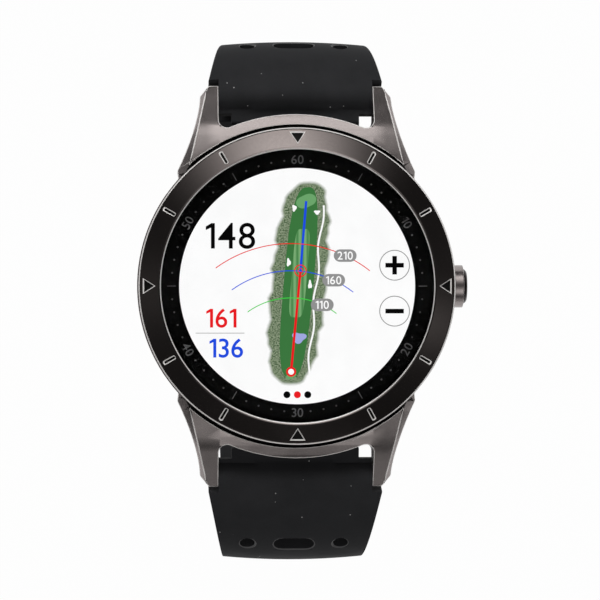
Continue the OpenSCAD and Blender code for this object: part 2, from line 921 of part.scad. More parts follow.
module bar_spring() {
  color([0.75, 0.75, 0.77])
    translate([bar_spring_x + 0.03, 0, 0])
      rotate([0, 90, 0])
        coil(bar_bore_r - 0.2, 0.1, plunger_x - bar_spring_x - 0.06, 8);
}

module release_tip() {
  color([0.8, 0.8, 0.82])
    union() {
      rod_x(plunger_r, plunger_x, bar_wall_x - run_gap);
      rod_x(tip_r, plunger_x + 1, tip_x);
      translate([lever_x, 0, -lever_reach])
        cylinder(r = lever_r, h = lever_reach, $fn = pin_fn);
      translate([lever_x, 0, -lever_reach])
        cylinder(r = lever_r * 2, h = 0.6, $fn = pin_fn);
    }
}

module upper_bar_tube() {
  at_hinge(upper_start)
    bar_tube();
}

module upper_bar_spring() {
  at_hinge(upper_start)
    bar_spring();
}

module upper_release_tip() {
  at_hinge(upper_start)
    release_tip();
}

module lower_bar_tube() {
  mirror([0, 1, 0])
    at_hinge(lower_start)
      bar_tube();
}

module lower_bar_spring() {
  mirror([0, 1, 0])
    at_hinge(lower_start)
      bar_spring();
}

module lower_release_tip() {
  mirror([0, 1, 0])
    at_hinge(lower_start)
      release_tip();
}

// Buckle and loops
module in_buckle() {
  on_upper(upper_len)
    rotate([buckle_lean, 0, 0])
      children();
}

module buckle_bar() {
  color([0.7, 0.7, 0.72])
    on_upper(upper_len)
      rod_x(buckle_bar_r, -arm_out_x + 0.1, arm_out_x - 0.1);
}

module buckle_frame() {
  round_r = 2;
  color([0.3, 0.29, 0.29])
    in_buckle()
      difference() {
        union() {
          translate([0, 0, frame_low])
            linear_extrude(rail_high - frame_low)
              polygon(concat(
                [[-arm_out_x, -0.6], [-arm_x, -0.6], [-arm_x, buckle_len - rail_l]],
                [[arm_x, buckle_len - rail_l], [arm_x, -0.6], [arm_out_x, -0.6]],
                arc(arm_out_x - round_r, buckle_len - round_r, round_r, 0, 90, 6),
                arc(round_r - arm_out_x, buckle_len - round_r, round_r, 90, 180, 6)));
          for (side = [0, 1])
            mirror([side, 0, 0])
              rod_x(1.5, arm_x, arm_out_x);
        }
        rod_x(buckle_bar_r + run_gap, -strap_w, strap_w);
      }
}

module buckle_tang() {
  color([0.4, 0.39, 0.39])
    in_buckle()
      difference() {
        union() {
          rod_x(tang_eye_r, -tang_w / 2, tang_w / 2);
          box(-tang_w / 2, tang_w / 2, 0, buckle_len + 0.6, tang_low, tang_low + tang_t);
        }
        rod_x(buckle_bar_r + run_gap, -strap_w, strap_w);
      }
}

module keeper() {
  high = keeper_in_high - keeper_in_low;
  color([0.1, 0.1, 0.11])
    translate([0, keeper_l / 2, (keeper_in_high + keeper_in_low) / 2])
      rotate([90, 0, 0])
        linear_extrude(keeper_l)
          difference() {
            polygon(rounded_rect(keeper_in_w + 2 * keeper_t, high + 2 * keeper_t, 1.4));
            polygon(rounded_rect(keeper_in_w, high, 0.4));
          }
}

module keeper_fixed() {
  on_upper(keeper_fixed_s)
    keeper();
}

module keeper_free() {
  on_upper(keeper_free_s)
    keeper();
}

case_body();
bezel_ring();
bezel_seal();
cover_glass();
chapter_ring();
display_panel();
display_flex();
inner_frame();
gps_antenna();
main_board();
board_chips();
board_screws();
battery();
battery_flex();
vibration_motor();
back_cover();
back_seal();
back_screws();
contact_block();
charging_contacts();
charging_flex();
button_bush();
tact_switch();
button_cap();
button_stem();
button_clip();
button_o_ring();
button_spring();
strap_upper();
upper_bar_tube();
upper_bar_spring();
upper_release_tip();
strap_lower();
lower_bar_tube();
lower_bar_spring();
lower_release_tip();
buckle_bar();
buckle_frame();
buckle_tang();
keeper_fixed();
keeper_free();
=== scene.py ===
# %% [markdown]
# # A golf GPS watch, dressed piece by piece
#
# The watch already exists as exact solids in one frame: +Z points out of the dial, +Y to
# 12 o'clock, +X to the button, and the flat case back lies at z = 0. This lesson gives those
# solids their looks. A solid whose shape is right keeps it and gets a finish. A piece that
# shows more than its solid does is modelled again in the same place.

# %% Load the solids
import math

import bpy
from mathutils import Matrix, Vector


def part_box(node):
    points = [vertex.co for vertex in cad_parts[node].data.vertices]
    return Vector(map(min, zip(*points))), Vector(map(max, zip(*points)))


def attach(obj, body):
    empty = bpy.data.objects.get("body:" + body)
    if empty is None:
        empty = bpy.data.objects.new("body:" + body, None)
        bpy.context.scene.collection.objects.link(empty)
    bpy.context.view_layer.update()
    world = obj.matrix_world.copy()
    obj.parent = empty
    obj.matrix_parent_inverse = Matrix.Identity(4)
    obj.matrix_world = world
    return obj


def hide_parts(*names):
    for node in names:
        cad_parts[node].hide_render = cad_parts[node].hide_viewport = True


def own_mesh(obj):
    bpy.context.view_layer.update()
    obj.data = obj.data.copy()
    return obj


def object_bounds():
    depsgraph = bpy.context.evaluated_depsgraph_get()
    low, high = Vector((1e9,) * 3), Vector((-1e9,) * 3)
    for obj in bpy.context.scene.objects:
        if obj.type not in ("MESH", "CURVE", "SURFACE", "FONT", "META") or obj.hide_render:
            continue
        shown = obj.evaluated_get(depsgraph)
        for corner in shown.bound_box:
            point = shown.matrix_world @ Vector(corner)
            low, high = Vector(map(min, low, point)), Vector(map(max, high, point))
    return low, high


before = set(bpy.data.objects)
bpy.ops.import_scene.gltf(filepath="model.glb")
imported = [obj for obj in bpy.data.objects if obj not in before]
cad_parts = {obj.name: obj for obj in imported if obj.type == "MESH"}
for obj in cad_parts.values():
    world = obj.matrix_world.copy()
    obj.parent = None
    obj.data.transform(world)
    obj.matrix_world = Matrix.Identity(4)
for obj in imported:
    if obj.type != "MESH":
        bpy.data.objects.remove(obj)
cad_box = [list(corner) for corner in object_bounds()]

# %% [markdown]
# ## Hand tools
#
# Operators act on whatever is selected, so every step starts by selecting only its own piece.
# Many of them also have small fixed tolerances, meant for things about a metre in size. A watch
# is far smaller, so each piece is modelled with one unit to the millimetre, and shrunk to metres
# when it is finished.

# %% Selecting, editing and applying
MM = 0.001


def only(*objects):
    """Leaves edit mode and selects just these objects, the first one active."""
    if bpy.context.object and bpy.context.object.mode != "OBJECT":
        bpy.ops.object.mode_set(mode="OBJECT")
    bpy.ops.object.select_all(action="DESELECT")
    for obj in objects:
        obj.select_set(True)
    if objects:
        bpy.context.view_layer.objects.active = objects[0]


def named(name):
    """Names the object that an operator has just added."""
    obj = bpy.context.object
    obj.name = name
    obj.data.name = name
    return obj


def edit(obj, pick="VERT", action="SELECT"):
    """Opens a mesh in edit mode with everything selected, or nothing."""
    only(obj)
    bpy.ops.object.mode_set(mode="EDIT")
    bpy.ops.mesh.select_mode(type=pick)
    bpy.ops.mesh.select_all(action=action)


def done():
    bpy.ops.object.mode_set(mode="OBJECT")


def edit_faces(obj, wanted):
    """Opens a mesh in edit mode with only the faces selected that a test picks."""
    edit(obj, "FACE", "DESELECT")
    done()
    for face in obj.data.polygons:
        face.select = wanted(face)
    bpy.ops.object.mode_set(mode="EDIT")


def faces_up(face):
    return face.normal.z > 0.9


def lift(height):
    """Extrudes what is selected along Z."""
    bpy.ops.mesh.extrude_region_move(TRANSFORM_OT_translate={"value": (0, 0, height)})


def give(obj, *finishes):
    for made in finishes:
        obj.data.materials.append(made)


def clean(obj, gap=0.001):
    """Merges points that lie together, and turns all faces outwards."""
    edit(obj)
    bpy.ops.mesh.remove_doubles(threshold=gap)
    bpy.ops.mesh.normals_make_consistent(inside=False)
    done()


def apply_modifier(obj, kind, **settings):
    only(obj)
    step = obj.modifiers.new(kind.lower(), kind)
    for key, value in settings.items():
        setattr(step, key, value)
    bpy.ops.object.modifier_apply(modifier=step.name)


def bevel(obj, turn, width, segments, **settings):
    """Bevels the edges where a surface turns by more than some degrees."""
    apply_modifier(obj, "BEVEL", limit_method="ANGLE", angle_limit=math.radians(turn), width=width,
                   segments=segments, **settings)


def join(name, pieces):
    """Makes several pieces into one object."""
    only(*pieces)
    bpy.ops.object.join()
    return named(name)


def settle(obj, body, slot, *nodes, finish=(), smooth=30, weigh=False):
    """Shrinks a finished piece to metres, gives it its finish and fixes it to its body."""
    only(obj)
    bpy.ops.object.shade_smooth_by_angle(angle=math.radians(smooth))
    if weigh:
        apply_modifier(obj, "WEIGHTED_NORMAL", keep_sharp=True)
    obj.scale = (MM, MM, MM)
    bpy.ops.object.transform_apply(location=True, rotation=True, scale=True)
    give(obj, *finish)
    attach(obj, body)
    if nodes:
        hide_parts(*nodes)
    print(obj.name, "has", len(obj.data.polygons), "faces")
    return obj


# %% [markdown]
# Three ways of starting a mesh cover most of the watch. A strand is one point extruded from spot
# to spot, as with the E key. A turned piece is a strand spun round the watch's axis, as on a
# lathe. A plate is a closed strand, filled and given a thickness.

# %% Strands, turned pieces and plates
def strand(name, points, closed=False):
    only()
    bpy.ops.mesh.primitive_plane_add(size=1)
    obj = named(name)
    edit(obj)
    bpy.ops.mesh.merge(type="COLLAPSE")
    bpy.ops.mesh.select_all(action="SELECT")
    bpy.ops.transform.translate(value=points[0])
    route = list(points) + ([points[0]] if closed else [])
    for here, there in zip(route, route[1:]):
        step = Vector(there) - Vector(here)
        bpy.ops.mesh.extrude_region_move(TRANSFORM_OT_translate={"value": step})
    bpy.ops.mesh.select_all(action="SELECT")
    bpy.ops.mesh.remove_doubles(threshold=0.0005)
    done()
    return obj


def turned(name, outline, steps=240, closed=True, angle=360.0):
    """Spins an outline of (radius, height) points round the Z axis."""
    obj = strand(name, [(r, 0, z) for r, z in outline], closed)
    edit(obj)
    bpy.ops.mesh.spin(steps=steps, angle=math.radians(angle), center=(0, 0, 0), axis=(0, 0, 1))
    done()
    clean(obj)
    return obj


def plate(name, outline, low, high):
    """Fills a closed outline of (x, y) points and extrudes it from one height to another."""
    obj = strand(name, [(x, y, low) for x, y in outline], closed=True)
    edit(obj)
    bpy.ops.mesh.edge_face_add()
    lift(high - low)
    done()
    clean(obj)
    return obj


def copied(node, name):
    """A copy of a solid's mesh at modelling scale, its loose triangles merged into whole faces."""
    obj = bpy.data.objects.new(name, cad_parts[node].data.copy())
    bpy.context.scene.collection.objects.link(obj)
    obj.data.materials.clear()
    obj.data.transform(Matrix.Scale(1 / MM, 4))
    only(obj)
    bpy.ops.mesh.customdata_custom_splitnormals_clear()
    edit(obj)
    bpy.ops.mesh.remove_doubles(threshold=0.0005)
    bpy.ops.mesh.dissolve_limited(angle_limit=math.radians(0.4))
    done()
    return obj


print("hand tools ready")

# %% [markdown]
# ## Finishes
#
# No real surface is one flat colour. A shared node group makes the grain that metal, rubber and
# plastic all have: a fine noise and a broad one, which shift the colour, the roughness and the
# height a little. Each finish sets its own colours and scale. Object coordinates are in metres,
# so a grain of a tenth of a millimetre needs a scale of several thousand.

# %% The grain group and the dust group
def new_group(name, inputs, outputs):
    group = bpy.data.node_groups.new(name, "ShaderNodeTree")
    for label, kind, value in inputs:
        socket = group.interface.new_socket(label, in_out="INPUT", socket_type="NodeSocket" + kind)
        socket.default_value = value
    for label, kind in outputs:
        group.interface.new_socket(label, in_out="OUTPUT", socket_type="NodeSocket" + kind)
    return group, group.nodes.new("NodeGroupInput"), group.nodes.new("NodeGroupOutput")


def feed(tree, socket, value):
    """Links a socket to another one, or sets it to a number or a colour."""
    if isinstance(value, bpy.types.NodeSocket):
        tree.links.new(value, socket)
    else:
        socket.default_value = (*value, 1.0) if isinstance(value, tuple) else value


def math_node(tree, operation, first, second):
    node = tree.nodes.new("ShaderNodeMath")
    node.operation = operation
    feed(tree, node.inputs[0], first)
    feed(tree, node.inputs[1], second)
    return node.outputs[0]


def spread(tree, value, low, high, to_low=0.0, to_high=1.0):
    """A Map Range node."""
    node = tree.nodes.new("ShaderNodeMapRange")
    labels = ("Value", "From Min", "From Max", "To Min", "To Max")
    for label, end in zip(labels, (value, low, high, to_low, to_high)):
        feed(tree, node.inputs[label], end)
    return node.outputs["Result"]


def mix_colour(tree, factor, first, second):
    node = tree.nodes.new("ShaderNodeMix")
    node.data_type = "RGBA"
    for i, value in ((0, factor), (6, first), (7, second)):
        feed(tree, node.inputs[i], value)
    return node.outputs[2]


def noise(tree, vector, scale, detail):
    node = tree.nodes.new("ShaderNodeTexNoise")
    for label, value in (("Vector", vector), ("Scale", scale), ("Detail", detail)):
        feed(tree, node.inputs[label], value)
    return node.outputs[0]


def object_coordinates(tree):
    return tree.nodes.new("ShaderNodeTexCoord").outputs["Object"]


GRAIN, grain_in, grain_out = new_group(
    "surface_grain",
    [("Dark", "Color", (0, 0, 0, 1)), ("Light", "Color", (1, 1, 1, 1)),
     ("Scale", "Float", 5000.0), ("Stretch", "Vector", (1, 1, 1)),
     ("Smooth", "Float", 0.3), ("Rough", "Float", 0.5)],
    [("Color", "Color"), ("Roughness", "Float"), ("Height", "Float")])
stretched = GRAIN.nodes.new("ShaderNodeVectorMath")
stretched.operation = "MULTIPLY"
GRAIN.links.new(object_coordinates(GRAIN), stretched.inputs[0])
GRAIN.links.new(grain_in.outputs["Stretch"], stretched.inputs[1])
fine = noise(GRAIN, stretched.outputs[0], grain_in.outputs["Scale"], 2.0)
broad_scale = math_node(GRAIN, "MULTIPLY", grain_in.outputs["Scale"], 0.04)
broad = noise(GRAIN, stretched.outputs[0], broad_scale, 3.0)
fine_part = math_node(GRAIN, "MULTIPLY", fine, 0.4)
both = math_node(GRAIN, "ADD", fine_part, math_node(GRAIN, "MULTIPLY", broad, 0.6))
shade = spread(GRAIN, both, 0.35, 0.65)
tint = mix_colour(GRAIN, shade, grain_in.outputs["Dark"], grain_in.outputs["Light"])
polish = spread(GRAIN, broad, 0.3, 0.7, grain_in.outputs["Smooth"], grain_in.outputs["Rough"])
GRAIN.links.new(tint, grain_out.inputs["Color"])
GRAIN.links.new(polish, grain_out.inputs["Roughness"])
GRAIN.links.new(fine, grain_out.inputs["Height"])

DUST, dust_in, dust_out = new_group(
    "dust_specks",
    [("Cells", "Float", 1000.0), ("Size", "Float", 0.1), ("Share", "Float", 0.1)],
    [("Mask", "Float")])
specks = DUST.nodes.new("ShaderNodeTexVoronoi")
DUST.links.new(object_coordinates(DUST), specks.inputs["Vector"])
DUST.links.new(dust_in.outputs["Cells"], specks.inputs["Scale"])
speck_tint = DUST.nodes.new("ShaderNodeSeparateColor")
DUST.links.new(specks.outputs["Color"], speck_tint.inputs[0])
near = math_node(DUST, "LESS_THAN", specks.outputs["Distance"], dust_in.outputs["Size"])
chosen = math_node(DUST, "LESS_THAN", speck_tint.outputs[0], dust_in.outputs["Share"])
DUST.links.new(math_node(DUST, "MULTIPLY", near, chosen), dust_out.inputs["Mask"])
print("node groups:", [g.name for g in bpy.data.node_groups])

# %% [markdown]
# A finish is one function call: two colours that the grain moves between, the grain's scale, the
# range of roughness, and how deep the grain stands. Values that are the same all over, such as
# Metallic, are set on the shader itself.

# %% Finishes of metal, rubber and plastic
def finish(name, dark, light, scale, smooth, rough, depth=0.0, stretch=(1, 1, 1), dust=0.0, plain=None):
    made = bpy.data.materials.new(name)
    made.use_nodes = True
    tree = made.node_tree
    shader = tree.nodes["Principled BSDF"]
    for label, value in (plain or {}).items():
        shader.inputs[label].default_value = value
    grain = tree.nodes.new("ShaderNodeGroup")
    grain.node_tree = GRAIN
    grain.inputs["Stretch"].default_value = stretch
    settings = {"Dark": dark, "Light": light, "Scale": scale, "Smooth": smooth, "Rough": rough}
    for label, value in settings.items():
        feed(tree, grain.inputs[label], value)
    colour = grain.outputs["Color"]
    if dust:
        specks = tree.nodes.new("ShaderNodeGroup")
        specks.node_tree = DUST
        specks.inputs["Share"].default_value = dust
        colour = mix_colour(tree, specks.outputs["Mask"], colour, (0.35, 0.35, 0.35))
    tree.links.new(colour, shader.inputs["Base Color"])
    tree.links.new(grain.outputs["Roughness"], shader.inputs["Roughness"])
    if depth:
        bump = tree.nodes.new("ShaderNodeBump")
        bump.inputs["Strength"].default_value = 0.5
        bump.inputs["Distance"].default_value = depth * MM
        tree.links.new(grain.outputs["Height"], bump.inputs["Height"])
        tree.links.new(bump.outputs["Normal"], shader.inputs["Normal"])
    return made


METAL = {"Metallic": 1.0}
satin_gunmetal = finish("satin_gunmetal", (0.285, 0.255, 0.25), (0.33, 0.297, 0.29), 9000, 0.20, 0.26, 0.002,
                        plain={"Metallic": 0.84})
polished_gunmetal = finish("polished_gunmetal", (0.265, 0.233, 0.225), (0.30, 0.266, 0.257), 2500, 0.10, 0.15,
                           plain=METAL)
# Painted highlight: a whitish, partly metallic finish on the bezel's edges and mark rims, standing in for the
# light they catch.
painted_rim_highlight = finish("painted_rim_highlight", (0.84, 0.82, 0.80), (0.92, 0.90, 0.88), 6000, 0.34, 0.42,
                    plain={"Metallic": 0.25})
# Painted highlight: a whitish, nearly matt finish for the case's edge bevels, standing in for the light they
# catch.
painted_edge_highlight = finish("painted_edge_highlight", (0.78, 0.75, 0.73), (0.88, 0.85, 0.83), 6000, 0.34, 0.42,
                  plain={"Metallic": 0.1})
# Painted shade: a near-black finish put in the groove beside the bezel and inside the bezel marks, where
# shade falls.
recess_shade_black = finish("recess_shade_black", (0.004, 0.004, 0.004), (0.007, 0.0066, 0.0064), 5000, 0.55, 0.7,
                      plain={"Specular IOR Level": 0.2})
strap_silicone = finish("strap_silicone", (0.024, 0.0245, 0.0262), (0.03, 0.0305, 0.0325), 7000, 0.56, 0.66,
                        0.012, dust=0.1, plain={"Specular IOR Level": 0.04})
# Painted highlight: a lighter rubber on the flared rims of the vents and holes, standing in for the light
# those rims catch.
painted_vent_highlight = finish("painted_vent_highlight", (0.085, 0.085, 0.087), (0.105, 0.105, 0.107), 7000, 0.5, 0.6,
                   plain={"Specular IOR Level": 0.2})
ring_black = finish("ring_black", (0.0016, 0.0017, 0.0018), (0.0024, 0.0025, 0.0026), 4000, 0.5, 0.6,
                    plain={"Specular IOR Level": 0.05})
ring_print = finish("ring_print", (0.095, 0.096, 0.098), (0.125, 0.126, 0.128), 9000, 0.5, 0.6,
                    plain={"Specular IOR Level": 0.05})
button_steel = finish("button_steel", (0.03, 0.028, 0.027), (0.045, 0.042, 0.041), 8000, 0.2, 0.28, 0.002,
                      plain=METAL)
buckle_steel = finish("buckle_steel", (0.24, 0.22, 0.216), (0.29, 0.266, 0.26), 8000, 0.2, 0.3, 0.002,
                      (1, 0.08, 0.08), plain=METAL)
back_resin = finish("back_resin", (0.028, 0.028, 0.03), (0.036, 0.036, 0.038), 8000, 0.38, 0.5, 0.006)
plain_steel = finish("plain_steel", (0.5, 0.5, 0.51), (0.6, 0.6, 0.61), 9000, 0.22, 0.32, 0.002, (0.1, 1, 1),
                     plain=METAL)
contact_gold = finish("contact_gold", (0.72, 0.5, 0.17), (0.83, 0.6, 0.24), 9000, 0.16, 0.26, plain=METAL)
bush_brass = finish("bush_brass", (0.55, 0.4, 0.16), (0.66, 0.49, 0.22), 9000, 0.25, 0.35, plain=METAL)
seal_rubber = finish("seal_rubber", (0.012, 0.012, 0.012), (0.02, 0.02, 0.02), 6000, 0.5, 0.6, 0.01)
chassis_resin = finish("chassis_resin", (0.05, 0.05, 0.053), (0.065, 0.065, 0.068), 6000, 0.45, 0.55, 0.008)
board_resist = finish("board_resist", (0.012, 0.09, 0.03), (0.02, 0.14, 0.05), 3500, 0.3, 0.4, 0.004,
                      (1, 0.15, 1))
chip_resin = finish("chip_resin", (0.014, 0.014, 0.015), (0.024, 0.024, 0.025), 8000, 0.5, 0.6, 0.006)
flex_amber = finish("flex_amber", (0.34, 0.13, 0.02), (0.48, 0.2, 0.04), 4000, 0.3, 0.4, 0.003, (1, 0.1, 1))
battery_foil = finish("battery_foil", (0.42, 0.43, 0.45), (0.56, 0.57, 0.59), 2500, 0.3, 0.42, 0.01,
                      plain=METAL)
print("finishes:", len(bpy.data.materials))

# %% [markdown]
# The display glows, so its inks are emission: a black base, a strength of 1 and a colour that the
# grain shifts by a hair. The cover is clear glass with an anti-reflective coat, which is a low
# index of refraction here, so that the black ring beneath it stays black.

# %% Screen inks and glass
def screen_ink(name, colour):
    dim = tuple(0.96 * c for c in colour)
    plain = {"Emission Strength": 1.0, "Specular IOR Level": 0.0}
    made = finish(name, dim, colour, 9000, 0.5, 0.6, plain=plain)
    tree = made.node_tree
    shader = tree.nodes["Principled BSDF"]
    glow = shader.inputs["Base Color"].links[0]
    source = glow.from_socket
    tree.links.remove(glow)
    shader.inputs["Base Color"].default_value = (0, 0, 0, 1)
    tree.links.new(source, shader.inputs["Emission Color"])
    return made


screen_white = screen_ink("screen_white", (1.0, 1.0, 1.0))
ink_black = screen_ink("ink_black", (0.002, 0.002, 0.002))
ink_red = screen_ink("ink_red", (0.83, 0.012, 0.016))
ink_blue = screen_ink("ink_blue", (0.014, 0.075, 0.76))
ink_green = screen_ink("ink_green", (0.05, 0.62, 0.06))
ink_grey = screen_ink("ink_grey", (0.29, 0.29, 0.29))
map_fairway = screen_ink("map_fairway", (0.045, 0.185, 0.05))
map_green = screen_ink("map_green", (0.15, 0.38, 0.15))
map_water = screen_ink("map_water", (0.36, 0.40, 0.76))
clear_glass = finish("clear_glass", (0.985, 0.988, 0.99), (1.0, 1.0, 1.0), 900, 0.0, 0.004,
                     plain={"Transmission Weight": 1.0, "IOR": 1.1})
print("screen inks and glass ready")

# %% [markdown]
# ## Case
#
# The case is one milled body: a round flank, a raised shoulder at 12 and 6 o'clock, four lugs and
# the button's collar. Its solid has most of the shape, but its lugs run down in one curve and
# every edge is knife sharp. On a copy, rows of edges are added to the tops of the lugs, and their
# points are lowered to a slight lean, a soft knee and a straight slope. A wedge cuts the polished
# facet along the outer top edge of each lug, and a part of a ring cuts the groove beside the
# bezel. Then every sharp edge gets a hairline bevel in a second finish, whitish and nearly matt: a
# painted highlight that stands in for the light those edges catch.

# %% Case body
TOP_Z, TOP_START_Y, TOP_END_Y, TOP_END_Z = 9.2, 15.0, 28.39, 5.056
KNEE_Y, KNEE_L, TIP_SLOPE = 22.0, 1.9, 0.60
LEAN, LEAN_LOW_Y, LEAN_HIGH_Y = 0.16, 14.0, 18.0
LUG_IN_X, FLANK_R = 11.1, 22.9
EXTRA_XS, EXTRA_YS = (LUG_IN_X, 13.0, 15.0), (22.0, 22.35, 22.7, 23.35, 23.7, 24.05)
FACET_TIP_X, FACET_LEAN, FACET_TILT = 12.79, 0.222, 0.82
FACET_LOW_Y, FACET_HIGH_Y, FACET_STEPS = 13.4, 29.4, 24
GROOVE_IN_R, GROOVE_OUT_R, GROOVE_LOW_Z, GROOVE_HIGH_Z, GROOVE_SWEEP = 22.7, 23.35, 6.9, 13, 82
EDGE_TURN, EDGE_W = 20, 0.11
HINGE_Y, HINGE_Z = 27.3, 3.5


def solid_top_z(y):
    share = max(0.0, (y - TOP_START_Y) / (TOP_END_Y - TOP_START_Y))
    return TOP_Z - (TOP_Z - TOP_END_Z) * share**2


def solid_slope(y):
    return 2 * (TOP_Z - TOP_END_Z) * (y - TOP_START_Y) / (TOP_END_Y - TOP_START_Y) ** 2


def lug_top_z(x, y):
    """The lugs lean outwards a little, and fall off in a straight slope beyond a soft knee."""
    fade = min(1.0, max(0.0, (y - LEAN_LOW_Y) / (LEAN_HIGH_Y - LEAN_LOW_Y)))
    lean = LEAN * fade * max(0.0, x - LUG_IN_X)
    if x < LUG_IN_X or y < KNEE_Y:
        return solid_top_z(y) - lean
    bent, start = min(y - KNEE_Y, KNEE_L), solid_slope(KNEE_Y)
    knee = start * bent + (TIP_SLOPE - start) * bent * bent / (2 * KNEE_L)
    return solid_top_z(KNEE_Y) - knee - TIP_SLOPE * (y - KNEE_Y - bent) - lean


def facet_wedge(name, side_x, side_y):
    """A three-sided bar along one lug's outer edge; its inner face leaves the facet."""
    lines = [[], [], []]
    for i in range(FACET_STEPS + 1):
        y = FACET_LOW_Y + (FACET_HIGH_Y - FACET_LOW_Y) * i / FACET_STEPS
        x = FACET_TIP_X + FACET_LEAN * (FACET_HIGH_Y - y)
        z = lug_top_z(x, y)
        for line, dx, dz in zip(lines, (-1, 4, 4), (FACET_TILT, -4 * FACET_TILT, 4)):
            line.append((side_x * (x + dx), side_y * y, z + dz))
    obj = join(name, [strand(f"{name}_{i}", line) for i, line in enumerate(lines)])
    edit(obj)
    bpy.ops.mesh.bridge_edge_loops(type="CLOSED")
    bpy.ops.mesh.select_all(action="SELECT")
    bpy.ops.mesh.fill_holes(sides=0)
    done()
    clean(obj)
    return obj


def cut(obj, cutters, use_self=True):
    """Cuts tools out of a piece. A tool with no finish of its own leaves the piece's first one."""
    for cutter in cutters:
        if not cutter.data.materials:
            give(cutter, obj.data.materials[0])
    tool = join("cutting_tool", cutters)
    apply_modifier(obj, "BOOLEAN", operation="DIFFERENCE", solver="EXACT", object=tool, use_self=use_self,
                   material_mode="TRANSFER")
    bpy.data.objects.remove(tool)


def groove_tool(name, side_y):
    """Part of a ring, centred on 12 or 6 o'clock, that cuts the groove along the shoulder."""
    section = [(GROOVE_IN_R, GROOVE_LOW_Z), (GROOVE_OUT_R, GROOVE_LOW_Z),
               (GROOVE_OUT_R, GROOVE_HIGH_Z), (GROOVE_IN_R, GROOVE_HIGH_Z)]
    obj = turned(name, section, steps=120, angle=GROOVE_SWEEP)
    edit(obj)
    bpy.ops.mesh.fill_holes(sides=0)
    done()
    clean(obj)
    middle = sum((v.co for v in obj.data.vertices), Vector())
    turn = math.radians(90 * side_y) - math.atan2(middle.y, middle.x)
    obj.data.transform(Matrix.Rotation(turn, 4, "Z"))
    return obj


def on_top(co):
    """Whether a point of the solid lies on the top of the shoulder or a lug."""
    y = abs(co.y)
    return y > TOP_START_Y and abs(co.z - solid_top_z(y)) < 0.03 and math.hypot(co.x, co.y) > FLANK_R


def split_top(obj, spot, normal, low_x):
    """Adds one row of edges across the top beyond low_x, so that it can bend there."""

    def wanted(face):
        spots = [obj.data.vertices[i].co for i in face.vertices]
        return all(on_top(co) and abs(co.x) > low_x - 0.01 for co in spots)

    edit_faces(obj, wanted)
    bpy.ops.mesh.bisect(plane_co=spot, plane_no=normal)
    done()


case = copied("case_body", "case_shell")
give(case, satin_gunmetal, painted_edge_highlight, recess_shade_black)
for side in (-1, 1):
    for x in EXTRA_XS:
        split_top(case, (side * x, 0, 0), (1, 0, 0), 0)
    for y in EXTRA_YS:
        split_top(case, (0, side * y, 0), (0, 1, 0), LUG_IN_X)
for v in case.data.vertices:
    x, y = abs(v.co.x), abs(v.co.y)
    round_end = x > LUG_IN_X and y > TOP_END_Y and v.co.z > HINGE_Z
    if on_top(v.co) or round_end:
        v.co.z = min(v.co.z, lug_top_z(x, y))
cut(case, [facet_wedge(f"wedge_{x}_{y}", x, y) for x in (-1, 1) for y in (-1, 1)])
cut(case, [groove_tool("groove_12", 1), groove_tool("groove_6", -1)])
clean(case, 0.004)
# The bevels take the second finish, the painted edge highlight.
bevel(case, EDGE_TURN, EDGE_W, 2, material=1, use_clamp_overlap=False)

# %% [markdown]
# The bevel's painted highlight belongs to the edges seen from the front only. The groove between
# bezel and shoulder gets a painted shade: black on its floor and its inner wall. Its outer wall keeps
# the satin finish.

# %% Groove and plain edges
EDGE_LOW_Z, GROOVE_LOW_Y = 3.4, 13.0
# Painted shade on the groove's floor and inner wall; the painted edge highlight is kept only on edges seen
# from the front.
for face in case.data.polygons:
    spots = [case.data.vertices[i].co for i in face.vertices]
    radii = [math.hypot(co.x, co.y) for co in spots]
    at_shoulder = abs(face.center.y) > GROOVE_LOW_Y
    outer_wall = min(radii) > GROOVE_OUT_R - 0.05 and abs(face.normal.z) < 0.1
    between = min(radii) > GROOVE_IN_R - 0.12 and max(radii) < GROOVE_OUT_R + 0.03
    above_floor = min(co.z for co in spots) > GROOVE_LOW_Z - 0.1
    unseen = face.center.z < EDGE_LOW_Z or max(radii) < GROOVE_IN_R or not at_shoulder
    if outer_wall:
        face.material_index = 0
    elif between and at_shoulder and above_floor:
        face.material_index = 2
    elif face.material_index == 1 and unseen:
        face.material_index = 0
settle(case, "watch_head", "case_metal", "case_body", smooth=18, weigh=True)

# %% [markdown]
# ## Bezel
#
# The bezel is a lathe part: its cross-section is drawn once and spun. The marks are cut with one
# Boolean. Each cutter is a small prism whose upper part flares out, and the flare carries a whitish
# painted highlight and the rest a black painted shade, so the cut faces take those finishes by
# themselves. The bezel's top edges carry the same painted highlight.

# %% Bezel ring
BEZEL_IN_R, BEZEL_OUT_R = 19.55, 22.8
BEZEL_SEAT_Z, BEZEL_TOP_Z, BEZEL_DROP = 9.24, 12.04, 1.35
SKIRT_R, SKIRT_Z = 20.5, 8.25
CONE_IN_R, CONE_OUT_R = BEZEL_IN_R + 0.35, BEZEL_OUT_R - 0.35
OUTER_Z = BEZEL_TOP_Z - BEZEL_DROP
bezel = turned("bezel", [
    (BEZEL_IN_R, SKIRT_Z), (SKIRT_R, SKIRT_Z), (SKIRT_R, BEZEL_SEAT_Z), (BEZEL_OUT_R - 0.3, BEZEL_SEAT_Z),
    (BEZEL_OUT_R, BEZEL_SEAT_Z + 0.3), (BEZEL_OUT_R, OUTER_Z - 0.3), (BEZEL_OUT_R - 0.05, OUTER_Z - 0.2),
    (BEZEL_OUT_R - 0.2, OUTER_Z - 0.05), (CONE_OUT_R, OUTER_Z + 0.03), (CONE_IN_R, BEZEL_TOP_Z),
    (BEZEL_IN_R + 0.15, BEZEL_TOP_Z - 0.03), (BEZEL_IN_R + 0.03, BEZEL_TOP_Z - 0.12),
    (BEZEL_IN_R, BEZEL_TOP_Z - 0.25)])
